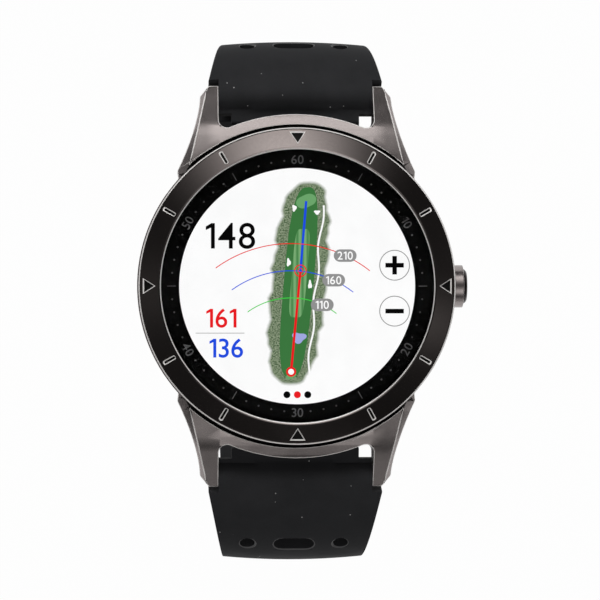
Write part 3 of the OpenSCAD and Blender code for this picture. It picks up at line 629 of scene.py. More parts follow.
give(bezel, polished_gunmetal, painted_rim_highlight, recess_shade_black)
# The bezel's top edges take the painted highlight finish.
for face in bezel.data.polygons:
    r, z = math.hypot(face.center.x, face.center.y), face.center.z
    if z > OUTER_Z - 0.22 and (r > BEZEL_OUT_R - 0.18 or r < BEZEL_IN_R + 0.12):
        face.material_index = 1

SLOPE = math.atan2(BEZEL_DROP, CONE_OUT_R - CONE_IN_R)
MARK_R = (BEZEL_IN_R + BEZEL_OUT_R) / 2
MARK_Z = (OUTER_Z + BEZEL_TOP_Z) / 2
MARK_L, MARK_W, MARK_DEPTH = 1.96, 0.34, 0.3
RIM_W, RIM_LOW_Z, RIM_RISE = 0.13, -0.1, 0.3
ARROW_X, ARROW_IN_Y, ARROW_OUT_Y = 0.9, -0.68, 0.94


def slot_outline(length, width, steps=8):
    """A slot along Y with round ends."""
    half, r = length / 2 - width / 2, width / 2
    ends = [(half, 0), (-half, math.pi)]
    return [(r * math.cos(a + math.pi * i / steps), mid + r * math.sin(a + math.pi * i / steps))
            for mid, a in ends for i in range(steps + 1)]


def arrow_outline():
    """A triangle that points to the middle of the dial."""
    return [(0, ARROW_IN_Y), (ARROW_X, ARROW_OUT_Y), (-ARROW_X, ARROW_OUT_Y)]


def mark_cutter(name, hour):
    """A prism through the cone, flared evenly at the surface, turned to its hour."""
    if hour % 3 == 0:
        outline = arrow_outline()
        tall, side = ARROW_OUT_Y - ARROW_IN_Y, math.hypot(ARROW_X, ARROW_OUT_Y - ARROW_IN_Y)
        inner_r = ARROW_X * tall / (ARROW_X + side)
        middle_y = ARROW_OUT_Y - inner_r
        grow = [1 + 3 * RIM_W / inner_r] * 2
    else:
        outline = slot_outline(MARK_L, MARK_W)
        middle_y = 0.0
        grow = [1 + 6 * RIM_W / size for size in (MARK_W, MARK_L)]
    obj = plate(name, outline, -MARK_DEPTH, RIM_LOW_Z)
    # Painted shade inside each mark, painted highlight on its flare.
    give(obj, recess_shade_black, painted_rim_highlight)
    edit_faces(obj, faces_up)
    lift(RIM_RISE)
    bpy.ops.transform.resize(value=(*grow, 1), center_override=(0, middle_y, 0))
    done()
    for face in obj.data.polygons:
        face.material_index = 1 if face.center.z > RIM_LOW_Z + 0.01 else 0
    clean(obj)
    only(obj)
    obj.rotation_euler = (-SLOPE, 0, 0)
    bpy.ops.object.transform_apply(rotation=True)
    obj.location = (0, MARK_R, MARK_Z)
    bpy.ops.object.transform_apply(location=True)
    obj.rotation_euler = (0, 0, -math.radians(30 * hour))
    bpy.ops.object.transform_apply(rotation=True)
    return obj


cut(bezel, [mark_cutter(f"mark_{hour}", hour) for hour in range(12)], use_self=False)
settle(bezel, "watch_head", "bezel_metal", "bezel_ring")

# %% [markdown]
# ## Glass and printed ring
#
# The cover glass is a disc with a ground edge, turned in the same way. Under it lies a black
# ring, printed with minute numbers, short lines at the odd hours and a dot for each minute
# between. Print is a real layer of ink, so it is modelled as very thin plates on the ring.

# %% Cover glass and chapter ring
GLASS_R, GLASS_Z, GLASS_TOP_Z, GLASS_EDGE = 19.5, 10.39, 11.69, 0.25
glass = turned("glass", [(0, GLASS_Z), (GLASS_R - 0.05, GLASS_Z), (GLASS_R, GLASS_Z + 0.05),
                         (GLASS_R, GLASS_TOP_Z - GLASS_EDGE), (GLASS_R - GLASS_EDGE, GLASS_TOP_Z),
                         (0, GLASS_TOP_Z)], closed=False)
settle(glass, "watch_head", "cover_glass", "cover_glass", finish=[clear_glass])

RING_IN_R, RING_OUT_R, RING_Z, RING_TOP_Z = 16.95, 19.45, 10.05, 10.34
ring = turned("dial_ring", [(RING_IN_R, RING_Z), (RING_OUT_R, RING_Z), (RING_OUT_R, RING_TOP_Z),
                            (RING_IN_R + 0.06, RING_TOP_Z), (RING_IN_R, RING_TOP_Z - 0.06)])
settle(ring, "watch_head", "dial_print", "chapter_ring", finish=[ring_black])


DIGIT_SHARE, DIGIT_GAP = 0.7, 0.13


def glyph(name, digit, height, bold, thick):
    """One digit as a thin mesh that stands on the X axis and starts at x = 0."""
    only()
    bpy.ops.object.text_add()
    obj = named(name)
    obj.data.body = digit
    obj.data.size = height / DIGIT_SHARE
    obj.data.offset = bold
    obj.data.extrude = thick / 2
    only(obj)
    bpy.ops.object.convert(target="MESH")
    obj = bpy.context.object
    if digit == "1":
        left = min(v.co.x for v in obj.data.vertices)
        top = max(v.co.y for v in obj.data.vertices)
        flag = [(left + 0.02 * height, top), (left + 0.02 * height, top - 0.17 * height),
                (left - 0.2 * height, top - 0.27 * height), (left - 0.2 * height, top - 0.13 * height)]
        obj = join(name, [obj, plate(f"{name}_flag", flag, -thick / 2, thick / 2)])
    obj.data.transform(Matrix.Translation((-min(v.co.x for v in obj.data.vertices), 0, 0)))
    return obj


def numerals(name, digits, height, x, y, z, turn, bold, thick):
    """A number made of glyphs side by side, centred on a spot."""
    pieces, reach = [], 0.0
    for i, digit in enumerate(digits):
        piece = glyph(f"{name}_{i}", digit, height, bold, thick)
        piece.data.transform(Matrix.Translation((reach, 0, 0)))
        reach = max(v.co.x for v in piece.data.vertices) + DIGIT_GAP * height
        pieces.append(piece)
    obj = join(name, pieces)
    corners = [v.co for v in obj.data.vertices]
    middle = Vector([(min(c[i] for c in corners) + max(c[i] for c in corners)) / 2 for i in range(3)])
    obj.data.transform(Matrix.Translation(-middle))
    obj.location = (x, y, z + thick / 2)
    obj.rotation_euler = (0, 0, turn)
    only(obj)
    bpy.ops.object.transform_apply(location=True, rotation=True, scale=True)
    clean(obj, 0.0001)
    return obj


def disc_outline(x, y, r, steps=24):
    return [(x + r * math.cos(2 * math.pi * i / steps), y + r * math.sin(2 * math.pi * i / steps))
            for i in range(steps)]


def around(r, minute):
    """The spot at a radius, a number of minutes clockwise from 12 o'clock."""
    a = math.radians(6 * minute)
    return r * math.sin(a), r * math.cos(a)


def bar_outline(start, end, width):
    """A straight bar between two spots."""
    along = Vector(end) - Vector(start)
    side = Vector((-along.y, along.x)).normalized() * width / 2
    return [tuple(Vector(p) + s) for p, s in ((start, side), (start, -side), (end, -side), (end, side))]


PRINT_R, PRINT_Z, PRINT_T = 18.05, RING_TOP_Z, 0.008
NUMBER_R, NUMBER_H, LINE_HALF, LINE_W, DOT_R = PRINT_R + 0.1, 1.25, 0.62, 0.13, 0.14
UPRIGHT_BELOW = (20, 30, 40)
prints = []
for minute in range(60):
    label = f"print_{minute}"
    if minute % 10 == 0:
        x, y = around(NUMBER_R, minute)
        turn = (math.pi if minute in UPRIGHT_BELOW else 0) - math.radians(6 * minute)
        prints.append(numerals(label, str(minute or 60), NUMBER_H, x, y, PRINT_Z, turn, 0.012, PRINT_T))
    elif minute % 5 == 0:
        ends = around(PRINT_R - LINE_HALF, minute), around(PRINT_R + LINE_HALF, minute)
        prints.append(plate(label, bar_outline(*ends, LINE_W), PRINT_Z, PRINT_Z + PRINT_T))
    else:
        dot = disc_outline(*around(PRINT_R, minute), DOT_R, 12)
        prints.append(plate(label, dot, PRINT_Z, PRINT_Z + PRINT_T))
settle(join("dial_numbers", prints), "watch_head", "dial_print", finish=[ring_print])

# %% [markdown]
# ## Display
#
# The panel is a white, glowing disc. What it shows is a plain golf hole of its own design: a
# curved lane with rough, fairway, a green, sand and water, three distance arcs from the tee, a
# few numbers, and plus and minus keys. Each layer is a thin plate a hair above the one before.

# %% Display panel
PANEL_R, PANEL_Z, PANEL_TOP_Z = 17.65, 8.46, 10.01
panel = turned("screen", [(0, PANEL_Z), (PANEL_R, PANEL_Z), (PANEL_R, PANEL_TOP_Z - 0.1),
                          (PANEL_R - 0.1, PANEL_TOP_Z), (0, PANEL_TOP_Z)], closed=False)
settle(panel, "watch_head", "display_face", "display_panel", finish=[screen_white])
LAYER, INK_T = 0.006, 0.004


def on_layer(number):
    return PANEL_TOP_Z + LAYER * number


def screen_plate(name, outline, number):
    return plate(name, outline, on_layer(number), on_layer(number) + INK_T)


def screen_number(name, digits, height, x, y, number, bold):
    return numerals(name, digits, height, x, y, on_layer(number), 0, bold, INK_T)


def show(obj, ink):
    """Fixes a finished part of the picture to the display."""
    settle(obj, "watch_head", "display_face", finish=[ink])


def glow_in(ink, colour):
    """Puts another colour in the place of an ink's own."""
    tree = ink.node_tree
    tree.links.new(colour, tree.nodes["Principled BSDF"].inputs["Emission Color"])


# %% [markdown]
# The hole's middle line is a formula, and rough, fairway and stripes are lanes of different width
# along it. The rough fades out at its border: its face is inset, and an attribute that is 0 on
# the border and 1 inside tells the ink how far to mix into white.

# %% The hole map
TEE_Y, PIN_Y = -12.3, 12.2


def lane_x(y):
    share = (y - TEE_Y) / (PIN_Y - TEE_Y)
    return -0.9 + 2.2 * share**2 + 0.5 * math.sin(3.2 * share)


def lane_outline(half, low, high, square=2.6, ripple=0.0, steps=44):
    """Both sides of a lane with rounded ends, as one closed outline."""
    sides = []
    for side in (1, -1):
        for i in range(steps):
            t = i / steps if side > 0 else 1 - i / steps
            y = low + (high - low) * (0.5 - 0.5 * math.cos(math.pi * t))
            share = abs(2 * (y - low) / (high - low) - 1)
            wave = 1 + ripple * math.sin(1.3 * y + 2 * side) + 0.6 * ripple * math.sin(2.9 * y - side)
            sides.append((lane_x(y) + side * half * (1 - min(1, share) ** square) ** (1 / square) * wave, y))
    return sides


rough = screen_plate("hole_rough", lane_outline(4.2, -14.4, 15.2, 3.0, 0.06), 1)
edit_faces(rough, faces_up)
bpy.ops.mesh.inset(thickness=0.75, depth=0)
done()
depth = rough.data.attributes.new("depth", "FLOAT", "POINT")
inside = {i for face in rough.data.polygons if face.select for i in face.vertices}
for i in inside:
    depth.data[i].value = 1.0

rough_ink = screen_ink("map_rough", (0.21, 0.26, 0.17))
rough_tree = rough_ink.node_tree
blades = noise(rough_tree, object_coordinates(rough_tree), 5200, 3.0)
patches = spread(rough_tree, blades, 0.36, 0.62)
mottle = mix_colour(rough_tree, patches, (0.03, 0.075, 0.025), (0.30, 0.36, 0.24))
reach = rough_tree.nodes.new("ShaderNodeAttribute")
reach.attribute_name = "depth"
ragged = math_node(rough_tree, "ADD", reach.outputs["Fac"], math_node(rough_tree, "MULTIPLY", blades, 0.5))
cover = spread(rough_tree, ragged, 0.3, 1.0)
glow_in(rough_ink, mix_colour(rough_tree, cover, (1.0, 1.0, 1.0), mottle))
show(rough, rough_ink)

fairway = screen_plate("hole_fairway", lane_outline(2.15, -13.2, 14.2, 3.0), 2)
show(fairway, map_fairway)

mown_ink = screen_ink("map_mown", (0.16, 0.36, 0.14))
mown_tree = mown_ink.node_tree
stripes = mown_tree.nodes.new("ShaderNodeTexWave")
stripes.inputs["Scale"].default_value = 420
mown_tree.links.new(object_coordinates(mown_tree), stripes.inputs["Vector"])
mown = mix_colour(mown_tree, stripes.outputs["Fac"], (0.07, 0.24, 0.075), (0.20, 0.42, 0.18))
glow_in(mown_ink, mown)
strip = screen_plate("hole_mown", lane_outline(1.1, -4.5, 8.2, 5.0), 3)
show(strip, mown_ink)


def blob_outline(x, y, wide, high, lobes, turn, steps=28):
    """A rounded patch with a few lobes."""
    points = []
    for i in range(steps):
        a = 2 * math.pi * i / steps
        swell = 1 + 0.22 * math.sin(lobes * a + turn)
        points.append((x + wide * swell * math.cos(a), y + high * swell * math.sin(a)))
    return points


def ribbon_outline(width, low, high, offset, sway, steps=30):
    """A narrow path beside the lane."""
    sides = []
    for side in (1, -1):
        for i in range(steps + 1):
            t = i / steps if side > 0 else 1 - i / steps
            y = low + (high - low) * t
            sides.append((lane_x(y) + offset + sway * math.sin(0.8 * y) + side * width / 2, y))
    return sides


pin = (lane_x(PIN_Y), PIN_Y)
putting = screen_plate("hole_green", blob_outline(*pin, 1.25, 1.1, 2, 0.6), 4)
tee_box = screen_plate("hole_tee", blob_outline(lane_x(TEE_Y), TEE_Y - 0.6, 0.7, 0.45, 2, 0), 4)
show(join("hole_greens", [putting, tee_box]), map_green)
pond = screen_plate("hole_pond", blob_outline(lane_x(-7.4) + 0.75, -7.4, 0.95, 0.75, 3, 0.5), 4)
show(pond, map_water)
sand = [screen_plate(f"hole_sand_{i}", blob_outline(lane_x(y) + off, y, wide, high, 3, i), 4)
        for i, (off, y, wide, high) in enumerate([(1.75, 10.6, 0.42, 0.3), (-1.6, 11.2, 0.3, 0.45),
                                                  (-1.7, 3.4, 0.28, 0.55), (1.65, 0.2, 0.26, 0.6)])]
path = screen_plate("hole_path", ribbon_outline(0.26, -13.0, 11.6, 2.55, 0.22), 5)
show(join("hole_sand", sand + [path]), screen_white)

# %% [markdown]
# The aim line runs from the tee to a target ring and on to the pin. The arcs are flat bands:
# two points, spun through part of a turn about the tee. Numbers and keys go on top.

# %% Aim lines, arcs, numbers and keys
TARGET_Y, AIM_W = 2.2, 0.34
TARGET = (lane_x(TARGET_Y) + 0.1, TARGET_Y)
TEE = (lane_x(TEE_Y), TEE_Y)


def band(name, middle, r, width, start, sweep, number, steps=48):
    """A flat arc; start and sweep are degrees clockwise from 12 o'clock."""
    obj = strand(name, [(0, r - width / 2, on_layer(number)), (0, r + width / 2, on_layer(number))])
    obj.data.transform(Matrix.Rotation(-math.radians(start), 4, "Z"))
    edit(obj)
    bpy.ops.mesh.spin(steps=steps, angle=math.radians(sweep), center=(0, 0, 0), axis=(0, 0, 1))
    bpy.ops.mesh.select_all(action="SELECT")
    bpy.ops.mesh.remove_doubles(threshold=0.001)
    lift(INK_T)
    done()
    obj.data.transform(Matrix.Translation((*middle, 0)))
    clean(obj)
    return obj


red = [screen_plate("aim_near", bar_outline(TEE, TARGET, AIM_W), 6),
       band("target_ring", TARGET, 0.82, 0.16, 0, 360, 7),
       band("target_dot", TARGET, 0.34, 0.12, 0, 360, 7, 24),
       screen_plate("tee_mark", disc_outline(*TEE, 0.72), 7)]
blue = [screen_plate("aim_far", bar_outline(TARGET, pin, AIM_W), 6)]
white = [screen_plate("tee_hole", disc_outline(*TEE, 0.42), 8)]
black, grey, green = [], [], []
ARCS = [(18.4, red, "210"), (14.5, blue, "160"), (10.6, green, "110")]
ARC_W, ARC_START, ARC_SWEEP = 0.13, -36, 74
PILL_TURN, PILL_W, PILL_H = 25, 3.3, 1.8
KEY_X, KEY_YS, KEY_R, KEY_HALF, KEY_BAR = 14.0, {"plus": 3.0, "minus": -3.6}, 2.15, 1.33, 0.66
for r, colour, reading in ARCS:
    colour.append(band(f"arc_{reading}", TEE, r, ARC_W, ARC_START, ARC_SWEEP, 7))
    x = TEE[0] + r * math.sin(math.radians(PILL_TURN))
    y = TEE[1] + r * math.cos(math.radians(PILL_TURN))
    pill = [(x + b, y - a) for a, b in slot_outline(PILL_W, PILL_H)]
    grey.append(screen_plate(f"pill_{reading}", pill, 8))
    white.append(screen_number(f"reading_{reading}", reading, 1.15, x, y, 9, 0.015))
black.append(screen_number("centre_yards", "148", 3.7, -9.6, 7.2, 2, 0.02))
red.append(screen_number("back_yards", "161", 2.7, -10.9, -4.6, 2, 0.03))
blue.append(screen_number("front_yards", "136", 2.7, -10.2, -8.9, 2, 0.03))
grey.append(screen_plate("divider", bar_outline((-14.6, -6.75), (-7.6, -6.75), 0.09), 2))
for key, y in KEY_YS.items():
    grey.append(band(f"key_{key}", (KEY_X, y), KEY_R, ARC_W, 0, 360, 2))
    across = bar_outline((KEY_X - KEY_HALF, y), (KEY_X + KEY_HALF, y), KEY_BAR)
    black.append(screen_plate(f"{key}_bar", across, 3))
post = bar_outline((KEY_X, KEY_YS["plus"] - KEY_HALF), (KEY_X, KEY_YS["plus"] + KEY_HALF), KEY_BAR)
black.append(screen_plate("plus_post", post, 2))
for i in range(3):
    (red if i == 1 else black).append(screen_plate(f"page_{i}", disc_outline(1.5 * (i - 1), -15.6, 0.5), 3))
for name, pieces, ink in (("screen_red", red, ink_red), ("screen_blue", blue, ink_blue),
                          ("screen_green", green, ink_green), ("screen_grey", grey, ink_grey),
                          ("screen_black", black, ink_black), ("screen_light", white, screen_white)):
    show(join(name, pieces), ink)

# %% [markdown]
# ## Strap
#
# Each half is moulded silicone: a crowned band that narrows from the lugs, with a bead round its
# spring bar, vents, and holes or a slot for the buckle. It is easiest to make lying flat, as a
# grid with a thickness whose points are set to the band's width and crown. Edges are rounded and
# the openings cut while it is flat. Only then is every point carried over to the curve that the
# strap hangs in, so the openings bend with it.

# %% The strap's line and its width
BEAD_R, BAR_BORE_R = 2.2, 0.95
STRAP_T, ROOT_T, ROOT_L = 2.88, 3.88, 14.0
STRAP_W, ROOT_W, TAPER_L = 20.0, 26.4, 27.0
ROOT_X, ROOT_CUT, CROWN, LINE_STEP = 11.2, 2.35, 0.5, 0.1


def strap_line(length, start, bends):
    """Points (y, z, heading) each tenth of a millimetre along a half, from its spring bar."""
    y, z, line = HINGE_Y, HINGE_Z, []
    for i in range(int(length / LINE_STEP) + 40):
        heading, left = start, (i + 0.5) * LINE_STEP
        for bend, end in bends:
            if left <= bend:
                heading += (end - heading) * left / bend
                break
            heading, left = end, left - bend
        a = math.radians(heading)
        line.append((y, z, a))
        y += LINE_STEP * math.cos(a)
        z += LINE_STEP * math.sin(a)
    return line


def spot_on(line, s):
    """The place and heading at a distance along the line, straight on before its start."""
    if s <= 0:
        y, z, a = line[0]
        return y + s * math.cos(a), z + s * math.sin(a), a
    i = min(int(s / LINE_STEP), len(line) - 2)
    t = s / LINE_STEP - i
    here, there = line[i], line[i + 1]
    return tuple(p + (q - p) * t for p, q in zip(here, there))


def half_thick(s):
    return STRAP_T / 2 + (ROOT_T - STRAP_T) / 2 * max(0.0, 1 - s / ROOT_L) ** 2


def half_wide(s):
    return STRAP_W / 2 + (ROOT_W - STRAP_W) / 2 * max(0.0, 1 - max(0.0, s) / TAPER_L) ** 2


def round_end(s, r):
    """Height of a round bead at a distance from its middle."""
    return math.sqrt(max(0.0, r * r - s * s))


print("strap line ready")

# %% [markdown]
# The flat band. Beyond the spring bar the outer face slumps, and the bead runs out into a thin
# lip that fills the gap towards the case. At the other end the last row lies a little inside the
# round end, so that it doesn't shrink to nothing. The crown takes the outer face down towards
# both edges.

# %% The flat band and its cutters
END_BEAD_R, TIP_R, TIP_HALF_W, FLAT_S = 1.7, 10.0, 0.8, 20
FLARE_W, FLARE_DEPTH = 0.2, 0.16
SLUMP, SLUMP_S = 0.16, 1.8
CUT_FAR, CUT_WIDE = 6, 20
LIP_L, LIP_X, LIP_LOW, LIP_HIGH = 3.6, 9.3, -1.7, -0.5
COLUMNS, ROW_L, SOFT_TURN, SOFT_W, INSIDE = 30, 0.7, 50, 0.55, 0.94


def flat_band(name, length, tail):
    low, high = -LIP_L, length if tail else length + INSIDE * END_BEAD_R
    rows = int((high - low) / ROW_L)
    only()
    bpy.ops.mesh.primitive_grid_add(x_subdivisions=COLUMNS, y_subdivisions=rows, size=1)
    obj = named(name)
    edit(obj)
    lift(-1)
    done()
    for v in obj.data.vertices:
        s = low + (v.co.y + 0.5) * (high - low)
        thick = max(half_thick(max(0.0, s)) if s > 0 else 0.0, round_end(s, BEAD_R))
        wide = half_wide(s)
        if tail:
            past = s - (length - TIP_R)
            wide = min(wide, max(TIP_HALF_W, round_end(past, TIP_R))) if past > 0 else wide
        else:
            beyond = s - length
            thick = max(thick if beyond < 0 else 0.0, round_end(beyond, END_BEAD_R))
        across = 2 * v.co.x
        top = thick - CROWN * min(1.0, thick / half_thick(FLAT_S)) * across * across
        top = max(top - SLUMP * max(0.0, SLUMP_S - s) ** 2, LIP_HIGH)
        v.co = (across * wide, s, top if v.co.z > -0.5 else min(-thick, LIP_LOW if s < 0 else 0.0))
    clean(obj)
    bevel(obj, SOFT_TURN, SOFT_W, 4, use_clamp_overlap=True)
    return obj


def opening_cutter(name, s, x, length, width):
    """A hole through the band, flared where it meets the outer face."""
    thick = half_thick(s) - CROWN * (x / half_wide(s)) ** 2
    outline = disc_outline(x, s, width / 2, 32)
    if length > width:
        outline = [(x + b, s - a) for a, b in slot_outline(length, width)]
    obj = plate(name, outline, -CUT_FAR, thick - FLARE_DEPTH)
    edit_faces(obj, faces_up)
    lift(2 * FLARE_DEPTH)
    grow = [(size + 4 * FLARE_W) / size for size in (length, width)]
    bpy.ops.transform.resize(value=(*grow, 1), center_override=(x, s, 0))
    done()
    give(obj, strap_silicone, painted_vent_highlight)
    # The flare takes the lighter painted highlight finish.
    for face in obj.data.polygons:
        face.material_index = 1 if face.center.z > thick - 0.95 * FLARE_DEPTH else 0
    clean(obj)
    return obj


def block(name, low, high, top=CUT_FAR):
    """A plain cutting block between two corners (x, s)."""
    outline = [low, (high[0], low[1]), high, (low[0], high[1])]
    return plate(name, outline, -CUT_FAR, top)


def bore(name, r, y, z):
    """A round cutting tool across the whole strap."""
    only()
    bpy.ops.mesh.primitive_cylinder_add(vertices=48, radius=r, depth=60, rotation=(0, math.pi / 2, 0),
                                        location=(0, y, z))
    return named(name)


UPPER_VENTS, LOWER_VENTS = (10.0, 23.5, 35.5), (11.5, 23.5, 35.5)
VENT_L, VENT_W, VENT_SIDE_X, HOLE_D = 6.0, 2.6, 6.9, 2.2
HOLE_START, HOLE_STEP, HOLES = 58, 6.5, 8
TANG_X, TANG_L, BUCKLE_BORE_R = 1.7, 4.4, 0.75
LEVER_X0, LEVER_X1, LEVER_S, LEVER_V = 6.2, 9.4, 1.4, -0.5


def strap_half(name, length, start, bends, mirror, tail):
    obj = flat_band(name, length, tail)
    give(obj, strap_silicone)
    lip_end = -INSIDE * BEAD_R
    tools = [block("root_right", (ROOT_X, -CUT_FAR), (CUT_WIDE, ROOT_CUT)),
             block("root_left", (-CUT_WIDE, -CUT_FAR), (-ROOT_X, ROOT_CUT)),
             block("lip_right", (LIP_X, -CUT_FAR), (CUT_WIDE, lip_end)),
             block("lip_left", (-CUT_WIDE, -CUT_FAR), (-LIP_X, lip_end)),
             block("lever_room", (LEVER_X0, -LEVER_S), (LEVER_X1, LEVER_S), LEVER_V)]
    for s in LOWER_VENTS if tail else UPPER_VENTS:
        tools.append(opening_cutter(f"vent_{s}", s, 0, VENT_L, VENT_W))
        for side in (-1, 1):
            tools.append(opening_cutter(f"vent_{s}_{side}", s, side * VENT_SIDE_X, HOLE_D, HOLE_D))
    if tail:
        for i in range(HOLES):
            tools.append(opening_cutter(f"hole_{i}", HOLE_START + HOLE_STEP * i, 0, HOLE_D, HOLE_D))
    else:
        tools.append(block("tang_slot", (-TANG_X, length - TANG_L), (TANG_X, length + CUT_FAR)))
    cut(obj, tools)
    apply_modifier(obj, "TRIANGULATE", min_vertices=5)
    line = strap_line(length, start, bends)
    for v in obj.data.vertices:
        y, z, a = spot_on(line, v.co.y)
        y, z = y - v.co.z * math.sin(a), z + v.co.z * math.cos(a)
        v.co = (v.co.x, -y if mirror else y, z)
    bores = [bore("bar_bore", BAR_BORE_R, -HINGE_Y if mirror else HINGE_Y, HINGE_Z)]
    if not tail:
        bores.append(bore("buckle_bore", BUCKLE_BORE_R, *spot_on(line, length)[:2]))
    clean(obj, 0.0005)
    cut(obj, bores)
    return obj


# %% Upper and lower strap halves
UPPER_LEN, LOWER_LEN = 75.0, 114.9
UPPER_BENDS = [(12.8, -85), (32, -111), (75, -111)]
LOWER_BENDS = [(13.3, -60), (6.3, -90), (30, -114), (80, -124)]
upper = strap_half("upper_band", UPPER_LEN, -15, UPPER_BENDS, False, False)
settle(upper, "upper_strap", "strap_rubber", "strap_upper", smooth=35)
lower = strap_half("lower_band", LOWER_LEN, -8, LOWER_BENDS, True, True)
settle(lower, "lower_strap", "strap_rubber", "strap_lower", smooth=35)

# %% [markdown]
# ## Buckle, loops, button and back
#
# These solids have the right shape and only lack softened edges. A copy of each gets a small
# bevel on its sharp edges, which is what catches the light on a real moulded or tumbled part.

# %% Softened copies
SHARP_TURN = 28
SOFT = [("buckle_frame", "buckle_loop", "buckle", "buckle_metal", buckle_steel, 0.25),
        ("buckle_tang", "tang_pin", "tang", "buckle_metal", buckle_steel, 0.18),
        ("keeper_fixed", "loop_fixed", "upper_strap", "strap_rubber", strap_silicone, 0.3),
        ("keeper_free", "loop_free", "free_keeper", "strap_rubber", strap_silicone, 0.3),
        ("button_cap", "button_face", "button", "button_metal", button_steel, 0.1),
        ("back_cover", "back_plate", "watch_head", "back_plastic", back_resin, 0.12)]
for node, name, body, slot_name, made, width in SOFT:
    obj = copied(node, name)
    bevel(obj, SHARP_TURN, width, 3, use_clamp_overlap=True)
    settle(obj, body, slot_name, node, finish=[made], weigh=True)

# %% [markdown]
# ## Springs
#
# The three springs are wound in their solids already. Copies of them are fixed to their bodies in
# plain steel; they don't shorten with their joints.

# %% Spring copies
SPRINGS = [("button_spring", "button", "button_press", 0.6, 1),
           ("upper_bar_spring", "upper_strap", "upper_release_slide", 1.2, 0),
           ("lower_bar_spring", "lower_strap", "lower_release_slide", 1.2, 0)]
for node, body, joint, travel, still_end in SPRINGS:
    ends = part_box(node)
    spring = copied(node, f"{node}_coil")
    settle(spring, body, "plain_steel", node, finish=(plain_steel,))
    tuple(float(c) for c in ends[still_end])
    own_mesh(spring)

# %% [markdown]
# ## The rest of the solids
#
# Everything else inside the case, and the tubes and tips of the spring bars, keep their solids.
# Each takes the finish of its kind, and steel is the one for all that aren't listed.

# %% Finishes for the solids that stay
SOLID_FINISHES = [(seal_rubber, ["bezel_seal", "back_seal", "button_o_ring"]),
                  (chassis_resin, ["inner_frame", "contact_block", "tact_switch"]),
                  (flex_amber, ["display_flex", "battery_flex", "charging_flex"]),
                  (contact_gold, ["charging_contacts", "gps_antenna"]),
                  (board_resist, ["main_board"]),
                  (chip_resin, ["board_chips"]),
                  (battery_foil, ["battery", "vibration_motor"]),
                  (bush_brass, ["button_bush"])]
node_finish = {node: made for made, nodes in SOLID_FINISHES for node in nodes}
kept = [name for name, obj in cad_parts.items() if not obj.hide_render]
for name in kept:
    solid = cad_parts[name]
    solid.data.materials.clear()
    give(solid, node_finish.get(name, plain_steel))
print("solids that stay:", len(kept))

# %% [markdown]
# ## Stage, light and camera
#
# The floor is white to the camera and in reflections, and mixes in enough of a lit surface to
# keep the watch's shadow. Polished metal shows its surroundings, so the studio is a set of soft
# glows: a broad one beyond 12 o'clock gives the bezel and the shoulder their light sweep, one
# stands high beyond 6 o'clock, and weak ones stand at the sides. All of these end at an edge
# about 30 degrees up, so the tips of the upper lugs stay dark. Two low glows beyond 6 o'clock,
# below that edge, light the lower lugs. Four lamps above light everything matt.

# %% Floor
FLOOR_GAP, FLOOR_R, FLOOR_GLOW = 0.004, 6, 0.98
FLOOR_Z = cad_box[0][2] - FLOOR_GAP
only()
bpy.ops.mesh.primitive_circle_add(vertices=96, radius=FLOOR_R, fill_type="NGON", location=(0, 0, FLOOR_Z))
floor = named("floor")
paper = bpy.data.materials.new("white_paper")
paper.use_nodes = True
tree = paper.node_tree
lit = tree.nodes["Principled BSDF"]
lit.inputs["Roughness"].default_value = 0.9
lit.inputs["Specular IOR Level"].default_value = 0.0
fibres = noise(tree, object_coordinates(tree), 900, 2.0)
sheet_shade = mix_colour(tree, fibres, (0.50, 0.50, 0.50), (0.54, 0.54, 0.54))
tree.links.new(sheet_shade, lit.inputs["Base Color"])
glow = tree.nodes.new("ShaderNodeEmission")
rays = tree.nodes.new("ShaderNodeLightPath")
mirrored = math_node(tree, "MAXIMUM", rays.outputs["Is Glossy Ray"], rays.outputs["Is Transmission Ray"])
seen = math_node(tree, "MAXIMUM", rays.outputs["Is Camera Ray"], mirrored)
blend = tree.nodes.new("ShaderNodeMixShader")
tree.links.new(math_node(tree, "MULTIPLY", seen, FLOOR_GLOW), blend.inputs[0])
tree.links.new(lit.outputs[0], blend.inputs[1])
tree.links.new(glow.outputs[0], blend.inputs[2])
tree.links.new(blend.outputs[0], tree.nodes["Material Output"].inputs["Surface"])
give(floor, paper)
print("floor at", round(FLOOR_Z, 4))

# %% Studio glow
BASE_GLOW, SIDE_GLOW, LOW_EDGE, HIGH_EDGE = 0.004, 0.04, 25, 32
GLOWS = [(-2, 44, 16, 2.2), (180, 62, 30, 1.5), (140, 60, 26, 0.22), (220, 60, 26, 0.1),
         (104, 34, 70, 0.2), (-92, 34, 50, 0.04)]
LOW_GLOWS = [(165, 10, 40, 0.75), (195, 10, 40, 0.75)]
world = bpy.data.worlds.new("studio")
bpy.context.scene.world = world
world.use_nodes = True
tree = world.node_tree
way = tree.nodes.new("ShaderNodeTexCoord").outputs["Generated"]
split = tree.nodes.new("ShaderNodeSeparateXYZ")
tree.links.new(way, split.inputs[0])
sideways = math_node(tree, "MULTIPLY", split.outputs["X"], split.outputs["X"])
level = math_node(tree, "ADD", math_node(tree, "MULTIPLY", sideways, SIDE_GLOW), BASE_GLOW)


def lobe(bearing, height, power, strength):
    """A round glow in one direction, given by its bearing from 12 o'clock and its height in degrees."""
    across, up = math.radians(bearing), math.radians(height)
    flat = math.cos(up)
    facing = tree.nodes.new("ShaderNodeVectorMath")
    facing.operation = "DOT_PRODUCT"
    tree.links.new(way, facing.inputs[0])
    facing.inputs[1].default_value = (math.sin(across) * flat, math.cos(across) * flat, math.sin(up))
    near = math_node(tree, "MAXIMUM", facing.outputs["Value"], 0.0)
    return math_node(tree, "MULTIPLY", math_node(tree, "POWER", near, power), strength)


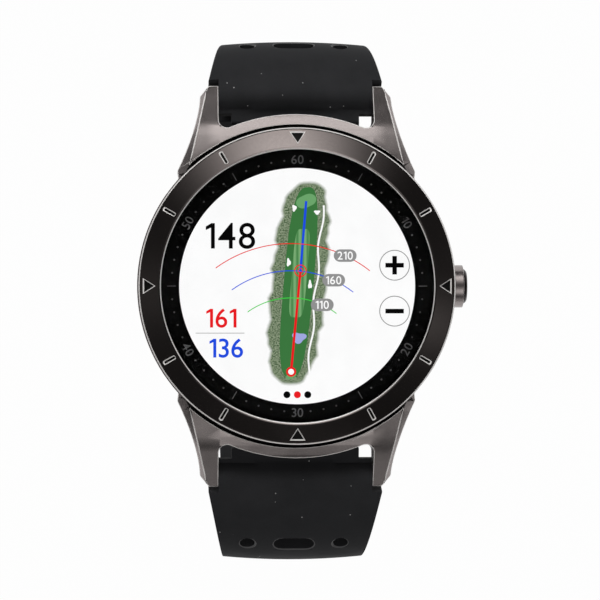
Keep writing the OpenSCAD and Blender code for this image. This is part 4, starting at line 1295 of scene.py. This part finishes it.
edge_zs = [math.sin(math.radians(edge)) for edge in (LOW_EDGE, HIGH_EDGE)]
above_edge = spread(tree, split.outputs["Z"], *edge_zs)
below_edge = math_node(tree, "SUBTRACT", 1.0, above_edge)
for glows, side_of_edge in ((GLOWS, above_edge), (LOW_GLOWS, below_edge)):
    for glow in glows:
        level = math_node(tree, "ADD", level, math_node(tree, "MULTIPLY", lobe(*glow), side_of_edge))
straight = tree.nodes.new("ShaderNodeLightPath").outputs["Is Camera Ray"]
tree.links.new(math_node(tree, "MAXIMUM", level, straight), tree.nodes["Background"].inputs["Strength"])
tree.nodes["Background"].inputs["Color"].default_value = (1, 0.985, 0.975, 1)
print("glows:", len(GLOWS) + len(LOW_GLOWS))

# %% Lamps
LAMP_AIM, LAMP_SIZE = Vector((0, 0, 0.01)), 0.34


def softbox(name, place, size, radiance):
    """A square lamp that looks at the watch, set by how bright its face is, without reflections."""
    only()
    bpy.ops.object.light_add(type="AREA", location=place)
    lamp = named(name)
    lamp.data.shape = "SQUARE"
    lamp.data.size = size
    lamp.data.energy = radiance * size * size * math.pi
    lamp.rotation_euler = (LAMP_AIM - Vector(place)).to_track_quat("-Z", "Y").to_euler()
    lamp.visible_glossy = False
    lamp.visible_camera = False
    return lamp


LAMPS = [("low_north", (0, 0.56, 0.39), 6.2), ("south", (0, -0.37, 0.59), 2.6),
         ("east", (0.55, 0, 0.36), 0.6), ("west", (-0.55, 0, 0.36), 0.6)]
for name, place, radiance in LAMPS:
    softbox(name, place, LAMP_SIZE, radiance)
print("lamps:", len(LAMPS))

# %% Camera
CAMERA_HIGH, LENS, AIM_X, AIM_Y, CAMERA_X = 0.400, 168.0, 0.00031, -0.0020, -0.018
FOCUS_Z = 0.0117
only()
bpy.ops.object.camera_add(location=(CAMERA_X, AIM_Y, FOCUS_Z + CAMERA_HIGH))
camera = named("camera")
camera.data.lens = LENS
camera.data.sensor_width = 36.0
camera.data.clip_start = 0.01
sight = Vector((AIM_X, AIM_Y, FOCUS_Z)) - camera.location
camera.rotation_euler = (0, math.atan2(sight.x, sight.z) + math.pi, 0)
scene = bpy.context.scene
scene.camera = camera
scene.view_settings.view_transform = "Standard"
print("camera", tuple(round(v, 4) for v in camera.location))
